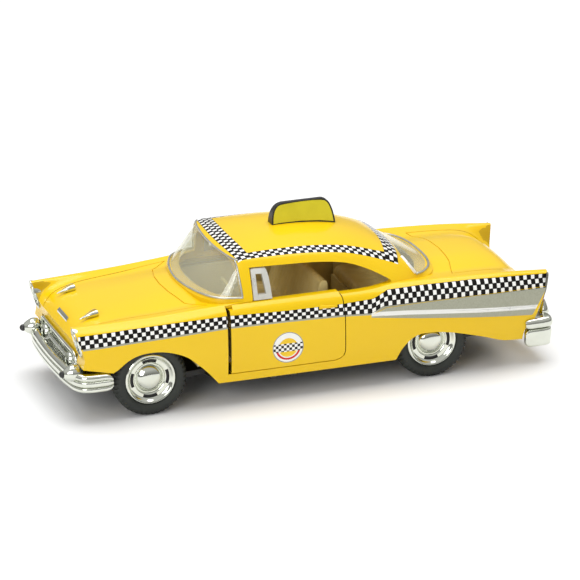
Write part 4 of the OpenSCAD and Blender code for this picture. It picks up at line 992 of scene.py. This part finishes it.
def sweep(name, path, profile, inside, taper=4):
    """Carries a profile of (depth inward, height) along a flat path, rounding both ends."""
    p = np.asarray(path, float)
    t = np.gradient(p, axis=0)
    t /= np.linalg.norm(t, axis=1, keepdims=True)
    n = np.stack([-t[:, 1], t[:, 0]], 1)
    n *= np.sign(np.sum(n * (np.array(inside) - p), axis=1, keepdims=True))
    prof = np.asarray(profile, float)
    mid = prof.mean(axis=0)
    rings = []
    for i in range(len(p)):
        e = min(i, len(p) - 1 - i)
        k = 1.0 if e >= taper else math.sqrt(max(0.0, 1 - (1 - e / taper) ** 2)) * 0.45 + 0.55
        q = mid + (prof - mid) * k
        rings.append([(p[i][0] + n[i][0] * d, p[i][1] + n[i][1] * d, z) for d, z in q])
    return loft(name, rings)


nose = plan_path([(-51.4, 22.4), (-54, 22.4), (-57, 22.3), (-59.2, 21.4), (-60.6, 19.4), (-61.5, 15),
                  (-62, 8),
                  (-62.2, 0)])
front_profile = smooth_parts(
    [(1.6, 8.3), (0.6, 8.25), (0.22, 8.55), (0.16, 9.0), (0.3, 9.4), (0.75, 9.52), (0.75, 9.68), (0.15, 9.8),
     (0.0, 10.4), (0.12, 11.0), (0.6, 11.15), (0.6, 11.35), (0.2, 11.45), (0.12, 11.9), (0.35, 12.4),
     (0.9, 12.75), (1.6, 12.8)], [0, 5, 6, 10, 11, 16], 3)
fb = sweep("bumper_front", nose, front_profile, (-45, 0), 5)
piece(fb, *PLATED, ["front_bumper"], sharp=50)
pods = []
for s in (-1, 1):
    pods.append(lathe("pod", [(0, -1.2), (2.0, -1.2), (2.15, -0.6), (2.2, 0), (2.12, 0.5), (1.9, 1.0),
                              (1.6, 1.6),
                              (1.25, 2.1), (0.92, 2.45), (0.82, 2.55), (0, 2.55)],
                      (-60.2, s * 17.6, 12.4), (-1, 0, 0), 48))
piece(join("bumper_pods", pods), *PLATED, sharp=50)
tips = [lathe("tip", [(0, 0.02), (0.86, 0.02), (0.84, 0.3), (0.72, 0.6), (0.45, 0.86), (0.2, 0.96),
                      (0, 0.99)],
              (-62.78, s * 17.6, 12.4), (-1, 0, 0), 32) for s in (-1, 1)]
piece(join("bullet_caps", tips), black, "body", "black_plastic", ["bullet_tips"], sharp=50)

tail_half = [(55.9, 22.6), (58.5, 22.55), (61.2, 22.45), (62.9, 21.95), (63.6, 20.6), (63.75, 18.6),
             (63.6, 14),
             (63.1, 10), (62.7, 5), (62.6, 0)]
tail = plan_path(tail_half)
rear_low = smooth_parts([(2.3, 4.65), (1.0, 4.65), (0.7, 4.9), (0.5, 6.2), (0.34, 7.6), (0.32, 8.6),
                         (0.5, 9.15),
                         (1.1, 9.35), (2.3, 9.4)], [0, 1, 8], 4)
rb = sweep("bumper_rear", tail, rear_low, (45, 0), 4)
parts = [rb]
for s in (-1, 1):
    end = [(x, s * y) for x, y in tail_half[:7]]
    parts.append(sweep("bumper_top", smooth(end, 6), smooth_parts(
        [(2.3, 9.3), (0.85, 9.45), (0.3, 9.7), (0.05, 10.3), (0.05, 11.0), (0.35, 11.7), (0.95, 12.1),
         (2.3, 12.15)],
        [0, 1, 7], 3), (50, 0), 4))
rb = join("bumper_rear", parts)
piece(rb, *PLATED, ["rear_bumper"], sharp=50)
guards = [lathe("guard", [(0, 0), (1.25, 0), (1.27, 0.4), (1.1, 1.0), (0.86, 1.75), (0.58, 2.5), (0.3, 3.2),
                          (0.12, 3.5), (0, 3.58)], (62.3, s * 18, 12.15), (0, 0, 1), 40) for s in (-1, 1)]
piece(join("tail_guards", guards), *PLATED, ["bumper_guards"], sharp=50)
for s, n in ((-1, "tail_lamp_left"), (1, "tail_lamp_right")):
    a = math.radians(113.6)
    ax = (math.sin(a), 0, math.cos(a))
    piece(lathe("lamp_" + n[10:], [(0, 0), (1.34, 0), (1.35, 0.3), (1.22, 0.5), (1.15, 0.62), (1.0, 0.85),
                                   (0.6, 1.04),
                                   (0, 1.09)], (60.66, s * 19.2, 17.0), ax, 40),
          red_glass, "body", "red_lamp", [n], sharp=50)

# ---------------------------------------------------------------- grille and lamps
gr = [block("back", -57.7, -57.2, -15.3, 15.3, 8.3, 16.0)]
for i in range(7):
    z = 8.7 + i * 1.0
    gr.append(tube("bar", [(-58.1, y, z) for y in np.linspace(-15.2, 15.2, 9)], 0.17, 8, soft=0))
for i in range(29):
    y = -14.9 + i * 1.064
    gr.append(tube("rib", [(-58.0, y, 8.4), (-58.0, y, 12), (-58.0, y, 15.6)], 0.15, 8, soft=0))
gr.append(tube("main", [(-58.75, y, 13.3) for y in np.linspace(-15.2, 15.2, 21)], 0.55, 16))
lip = smooth([(-58.2, -15.2, 12.6), (-58.55, -15.0, 14.6), (-58.7, -13.8, 15.9), (-58.75, -8, 16.1),
              (-58.8, 0, 16.15), (-58.75, 8, 16.1), (-58.7, 13.8, 15.9), (-58.55, 15.0, 14.6),
              (-58.2, 15.2, 12.6)], 6)
gr.append(tube("lip", lip, 0.5, 14))
for s in (-1, 1):
    gr.append(lathe("side_lamp", [(0, -0.4), (1.9, -0.4), (2.05, 0.4), (2.0, 1.2), (1.8, 1.8), (1.55, 2.1),
                                  (1.4, 1.95),
                                  (1.1, 1.75), (0, 1.9)], (-57.6, s * 10.6, 13.3), (-1, 0, 0), 48))
piece(join("grille_mesh", gr), *PLATED, ["grille"], sharp=45)


def hood_ring(k, front, n=56):
    """Pointed-top outline of a lamp hood, k from the lens edge (0) to the rim (1)."""
    out = []
    for i in range(n):
        a = 2 * math.pi * i / n
        y, z = math.cos(a), math.sin(a)
        r_y = mix(1.9, 2.62, k)
        up, down = mix(1.9, 3.75, k), mix(1.9, 3.9, k)
        zz = 20.4 + (z * up if z > 0 else z * down)
        yy = y * r_y * (1 - 0.28 * max(0, z) ** 3 * k)
        out.append((front(zz), yy, zz))
    return out


def nose_x(z):
    return float(np.interp(z, [14.2, 16.7, 20.7, 24.3], [-58.5, -58.3, -59.4, -60.4]))


for s, side_name in ((-1, "left"), (1, "right")):
    rings = [hood_ring(1.0, lambda z: nose_x(z) + 0.5), hood_ring(1.0, lambda z: nose_x(z) - 0.1),
             hood_ring(0.92, lambda z: nose_x(z) - 0.3), hood_ring(0.8, lambda z: nose_x(z) - 0.3),
             hood_ring(0.66, lambda z: nose_x(z) - 0.05), hood_ring(0.4, lambda z: nose_x(z) + 0.25),
             hood_ring(0.12, lambda z: min(nose_x(z) + 0.3, -59.0)), hood_ring(0.0, lambda z: -59.1),
             hood_ring(0.0, lambda z: -57.6), hood_ring(0.6, lambda z: -57.6)]
    rings = [[(x, s * (18.6 + y * 0.88), z) for x, y, z in r] for r in rings]
    b = loft("bezel_" + side_name, rings + [rings[0]], caps=False)
    piece(weld(b, turn_out=True), *PLATED, ["headlight_bezels"], sharp=50)
    piece(lathe("reflector_" + side_name, [(0, 1.15), (1.0, 0.95), (1.6, 0.35), (1.7, 0.0), (1.7, 1.5),
                                           (0, 1.5)],
                (-58.9, s * 18.65, 20.4), (1, 0, 0), 40), *PLATED, sharp=50)
    piece(lathe("lens_" + side_name, [(0, -0.75), (0.6, -0.68), (1.1, -0.45), (1.45, -0.2), (1.7, 0.15),
                                      (1.7, 0.35),
                                      (1.35, 0.1), (1.0, -0.15), (0.55, -0.38), (0, -0.45)],
                (-59.1, s * 18.65, 20.4), (1, 0, 0), 40),
          lens_glass, "body", "lens", ["headlight_lens_" + side_name], sharp=60)

# ---------------------------------------------------------------- bonnet and tail trim
orn = []
for s in (-1, 1):
    a = math.radians(76)
    ax = (math.sin(a), 0, math.cos(a))
    o = lathe("orn", [(0, -3.2), (0.14, -3.0), (0.26, -2.4), (0.4, -1.5), (0.62, -0.6), (0.8, 0.2),
                      (0.86, 0.9),
                      (0.8, 1.5), (0.7, 1.7), (0.55, 1.6), (0.5, 1.0), (0, 0.9)],
              (-53, s * 9.9, 23.85), ax, 28)
    fin = prism("orn_fin", [(-55.6, 23.2), (-53.2, 24.9), (-52.2, 25.3), (-51.6, 25.1), (-51.4, 24.0),
                            (-52.5, 23.0)], s * 9.9 - 0.14,
                s * 9.9 + 0.14)
    add(o, fin)
    cut(o, lower(-0.02))
    orn.append(o)
piece(join("ornaments", orn), *PLATED, ["bonnet_ornaments"], sharp=50)
nb = lower(-0.4)
cut(nb, lower(-0.02))
boolean(nb, block("bar", -57.7, -57.1, -4.0, 4.0, 15, 27), "INTERSECT")
nb.name = "nose_strip"
piece(nb, *PLATED, ["nose_bar"], sharp=50)

# bead along the lower edge of each spear, chrome strip down each fin end
for s, n in ((-1, "left"), (1, "right")):
    pts = [(x, s * min(side_at(x, z) + 0.08, 22.7), z) for x, z in
           bead_line]
    piece(tube("bead_" + n, smooth(pts, 4), 0.5, 12), bead, *SILVER_TRIM, sharp=60)
    pts = [(x, s * y, z) for x, y, z in
           [(62.25, 20.3, 23.4), (62.0, 20.95, 22.6), (61.75, 20.95, 20.8), (61.35, 20.95, 18.8),
            (60.3, 21.0, 16.4),
            (59.3, 21.0, 14.1)]]
    piece(tube("fin_edge_" + n, smooth(pts, 4), 0.3, 10), gunmetal, *SILVER_TRIM, sharp=60)

# ---------------------------------------------------------------- window mouldings
def cabin_columns(o):
    rows = [pull(pillar_ring(u), o) for u in np.linspace(0, 1, 61)]
    return np.stack(rows)  # level, ring place, xyz


def level_path(o, z, side):
    """Points of the cabin surface at height z, front (side -1) or rear (side 1), from left to right."""
    g = cabin_columns(o)
    out = []
    for k in range(g.shape[1]):
        col = g[:, k, :]
        if col[0, 2] < z < col[-1, 2]:
            out.append([np.interp(z, col[:, 2], col[:, 0]), np.interp(z, col[:, 2], col[:, 1]), z])
    out = [p for p in out if (p[0] < -17.2 if side < 0 else p[0] > 28.4)]
    return sorted(out, key=lambda p: p[1])


def post_path(o, x_of_z, s, z0, z1):
    """Points of the cabin surface up a pillar where x meets a slanted line."""
    out = []
    for row in cabin_columns(o):
        ring = np.array([p for p in row if p[1] * s > 8])
        ring = ring[np.argsort(ring[:, 0])]
        z = float(np.median(ring[:, 2]))
        for _ in range(4):
            x = x_of_z(z)
            y, z = (float(np.interp(x, ring[:, 0], ring[:, k])) for k in (1, 2))
        if z0 < z < z1:
            out.append([x, y, z])
    return out


for name, z, side, r in (("screen_foot", 26.95, -1, 0.3), ("rear_foot", 26.15, 1, 0.34),
                         ("screen_head", 35.45, -1, 0.26)):
    p = level_path(0.0, z, side)
    piece(tube(name, smooth(p[::3] + [p[-1]], 3), r, 10), trim, *SILVER_TRIM, sharp=60)
for s, n in ((-1, "left"), (1, "right")):
    p = post_path(0.0, lambda z: -17.45 - 0.06 * (z - 26.8), s, 27.0, 35.4)
    piece(tube("screen_post_" + n, smooth(p[::4] + [p[-1]], 3), 0.26, 10), trim, *SILVER_TRIM, sharp=60)
    p = post_path(0.0, lambda z: 28.75 - 0.69 * (z - 26.1), s, 26.3, 29.9)
    piece(tube("rear_post_" + n, smooth(p[::4] + [p[-1]], 3), 0.42, 10), bead, *SILVER_TRIM, sharp=60)

# ---------------------------------------------------------------- sign
SX = 4.6  # middle of the sign along the car


def sign_side(g):
    return smooth_parts([(SX - 8.1 + g, 35), (SX - 8.1 + g, 38.9), (SX - 7.6 + g, 41.2),
                         (SX - 6.6 + g, 42.6 - g * 0.4),
                         (SX - 5.0 + g, 43.2 - g), (SX + 5.2 - g, 43.2 - g), (SX + 6.8 - g, 42.4 - g * 0.4),
                         (SX + 7.7 - g, 40.6), (SX + 8.3 - g, 37.6), (SX + 8.3 - g, 35)], [0, 9], 4)


SIGN_T, SIGN_LEAN = 1.7, 0.2
FACE_LIMIT = [(-6, 48), (-6, 38.1), (-1, 38.35), (4, 38.3), (9, 37.85), (14, 36.95), (14, 48)]


def leaning(ob, s):
    """Shears a part of the sign so that its side leans inward going up."""
    for v in ob.data.vertices:
        v.co.y += -s * SIGN_LEAN * (v.co.z - 37.9)
    return ob


sh = leaning(prism("sign_case", sign_side(0), -SIGN_T, 6), -1)
boolean(sh, leaning(prism("sign_half", sign_side(0), -6, SIGN_T), 1), "INTERSECT")
boolean(sh, block("under_top", -10, 30, -5, 5, 30, 43.19), "INTERSECT")
for s in (-1, 1):
    f = prism("r", sign_side(0.35), s * (SIGN_T - 0.15) - 0.25, s * (SIGN_T - 0.15) + 0.25)
    boolean(f, prism("z", [(x, z - 0.12) for x, z in FACE_LIMIT], -5, 5), "INTERSECT")
    cut(sh, leaning(f, s))
cut(sh, cabin(-0.04, 24))
piece(sh, black, "body", "black_plastic", ["sign_housing"], sharp=35, bevel=0.1)
faces = []
for s in (-1, 1):
    f = prism("f", sign_side(0.42), s * (SIGN_T - 0.2) - 0.18, s * (SIGN_T - 0.2) + 0.18)
    boolean(f, prism("z", FACE_LIMIT, -5, 5), "INTERSECT")
    cut(leaning(f, s), cabin(-0.15, 24))
    faces.append(f)
piece(join("sign_panels", faces), sign_paint, "body", "sign_yellow", ["sign_faces"], sharp=35)

# ---------------------------------------------------------------- wheels
def wheel_axis(x, s):
    return (x, s * TRACK, AXLE_Z), (0, -s, 0)


def rim(name, x, s):
    c, w = wheel_axis(x, s)
    prof = [tuple(p) for p in smooth([(0, 0.3), (1.2, 0.38), (2.3, 0.72), (3.1, 1.35), (3.55, 1.85)], 4)]
    prof += [(3.75, 1.85), (3.95, 1.6), (4.1, 1.5), (4.2, 1.46), (4.25, 1.46), (4.95, 1.38), (5.0, 1.38),
             (5.15, 1.3),
             (5.45, 1.05), (5.7, 0.7), (5.9, 0.54), (6.15, 0.5), (6.35, 0.62), (6.43, 0.9), (6.43, 4.3),
             (5.7, 4.3),
             (5.7, 2.8), (1.9, 2.8), (1.9, 4.4), (0, 4.4)]
    lo, hi = 4.22, 4.98  # the slots lie between these radii

    def slots(i, a, r, h):
        # four arc slots pressed into the ring
        k = (math.degrees(a) + 45.0) % 90.0 - 45.0
        if lo < r < hi and abs(k) < 21.0:
            return r, 2.2
        return r, h
    return lathe(name, prof, c, w, 144, slots)


def tyre(name, x, s):
    c, w = wheel_axis(x, s)
    outer = [(6.46, 0.62), (6.65, 0.35), (6.95, 0.16), (7.4, 0.05), (7.9, 0.08), (8.2, 0.18), (8.5, 0.3),
             (8.8, 0.5),
             (9.02, 0.72), (9.18, 1.0), (9.27, 1.3), (9.29, 1.55), (9.05, 1.62), (9.05, 1.82), (9.29, 1.9),
             (9.3, 2.2)]
    prof = outer + [(r, TYRE_W - h) for r, h in outer[::-1]]
    cuts = 44

    def tread(i, a, r, h):
        # crosswise cuts round the shoulder
        k = (a / (2 * math.pi) * cuts) % 1.0
        edge = 8.4 < r < 9.285 and (h < 1.5 or h > TYRE_W - 1.5)
        if edge and k < 0.3:
            return r - 0.22, h + (0.12 if h < 2 else -0.12)
        return r, h
    return lathe(name, prof, c, w, cuts * 5, tread)


def slot_inserts(name, x, s):
    """Dark floor of the four arc slots of a rim."""
    c, w = wheel_axis(x, s)
    parts = []
    for turn in range(4):
        rings = []
        for a in np.radians(np.linspace(-20.6, 20.6, 15) + 90 * turn):
            rings.append([(c[0] + r * math.cos(a), c[1] + w[1] * h, c[2] + r * math.sin(a))
                          for r, h in ((4.26, 1.75), (4.94, 1.75), (4.94, 2.18), (4.26, 2.18))])
        parts.append(loft("slot", rings))
    return join(name, parts)


for end, x in WHEELS.items():
    for s, n in ((-1, "left"), (1, "right")):
        body = "front_wheels" if end == "front" else "rear_wheels"
        piece(rim(f"hubcap_{end}_{n}", x, s), chrome, body, "plated", [f"rim_{end}_{n}"], sharp=40)
        piece(slot_inserts(f"slots_{end}_{n}", x, s), lining, body, "black_plastic", sharp=40)
        piece(tyre(f"tread_{end}_{n}", x, s), rubber, body, "rubber", [f"tyre_{end}_{n}"], sharp=40)

# ---------------------------------------------------------------- CAD pieces kept as they are
kept = {"chassis_plate": black, "chassis_screws": steel, "motor_case_left": casing,
        "motor_case_right": casing,
        "motor_middle_plate": steel, "motor_rivets": steel, "motor_screws": steel, "rear_axle": steel,
        "axle_gear": nylon, "idler_gear": nylon, "idler_pin": steel, "flywheel_shaft": brass,
        "flywheel": brass,
        "front_axle": steel}
for n, material in kept.items():
    nodes[n].data.materials.clear()
    nodes[n].data.materials.append(material)

# ---------------------------------------------------------------- floor, light, camera
floor = block("floor", -3000, 3000, -3000, 3000, -20, -0.02)
floor.data.transform(Matrix.Scale(MM, 4))
fm = Net("floor_pale")
fm.set(Base_Color=fm.mix(fm.noise(0.004, 3.0), (0.86, 0.86, 0.86), (0.89, 0.89, 0.89)), Roughness=0.9)
floor.data.materials.append(fm.mat)


def area(name, where, aim, size, power):
    light = bpy.data.lights.new(name, "AREA")
    light.shape = "RECTANGLE"
    light.size, light.size_y = size
    light.energy = power
    ob = place(name, light)
    ob.location = where
    ob.rotation_euler = (Vector(aim) - Vector(where)).to_track_quat("-Z", "Y").to_euler()


area("light_top", (0.05, 0.1, 0.75), (0, 0, 0), (0.9, 0.7), 5.6)
area("light_front", (-0.6, -0.6, 0.4), (0, 0, 0.02), (0.45, 0.45), 2.6)

world = bpy.data.worlds.new("studio")
bpy.context.scene.world = world
world.use_nodes = True
wt = world.node_tree
bg = wt.nodes["Background"]
tc = wt.nodes.new("ShaderNodeTexCoord")
sep = wt.nodes.new("ShaderNodeSeparateXYZ")
wt.links.new(tc.outputs["Generated"], sep.inputs[0])
ramp = wt.nodes.new("ShaderNodeValToRGB")
wt.links.new(sep.outputs[2], ramp.inputs[0])
ramp.color_ramp.elements[0].position, ramp.color_ramp.elements[0].color = 0.0, (0.30, 0.30, 0.29, 1)
ramp.color_ramp.elements[1].position, ramp.color_ramp.elements[1].color = 0.6, (1, 1, 1, 1)
e = ramp.color_ramp.elements.new(0.18)
e.color = (0.55, 0.55, 0.54, 1)
wt.links.new(ramp.outputs[0], bg.inputs[0])
bg.inputs[1].default_value = 0.62

cam = bpy.data.cameras.new("camera")
cam_ob = place("camera", cam)
AZ, EL, ROLL, DIST, LENS = -18.70, 19.79, -0.86, 1.093, 272.27  # degrees, metres, millimetres
TARGET = Vector((0.00144, 0.0, 0.01984))
a, e_, r = (math.radians(v) for v in (AZ, EL, ROLL))
back = Vector((math.sin(a) * math.cos(e_), -math.cos(a) * math.cos(e_), math.sin(e_)))
right = (-back).cross(Vector((0, 0, 1))).normalized()
up = right.cross(-back)
right, up = right * math.cos(r) + up * math.sin(r), up * math.cos(r) - right * math.sin(r)
m = Matrix((right, up, back)).transposed().to_4x4()
m.translation = TARGET + back * DIST
cam_ob.matrix_world = m
cam.lens, cam.sensor_width = LENS, 36.0
cam.clip_start, cam.clip_end = 0.05, 20.0
bpy.context.scene.camera = cam_ob
bpy.context.scene.view_settings.view_transform = "Standard"
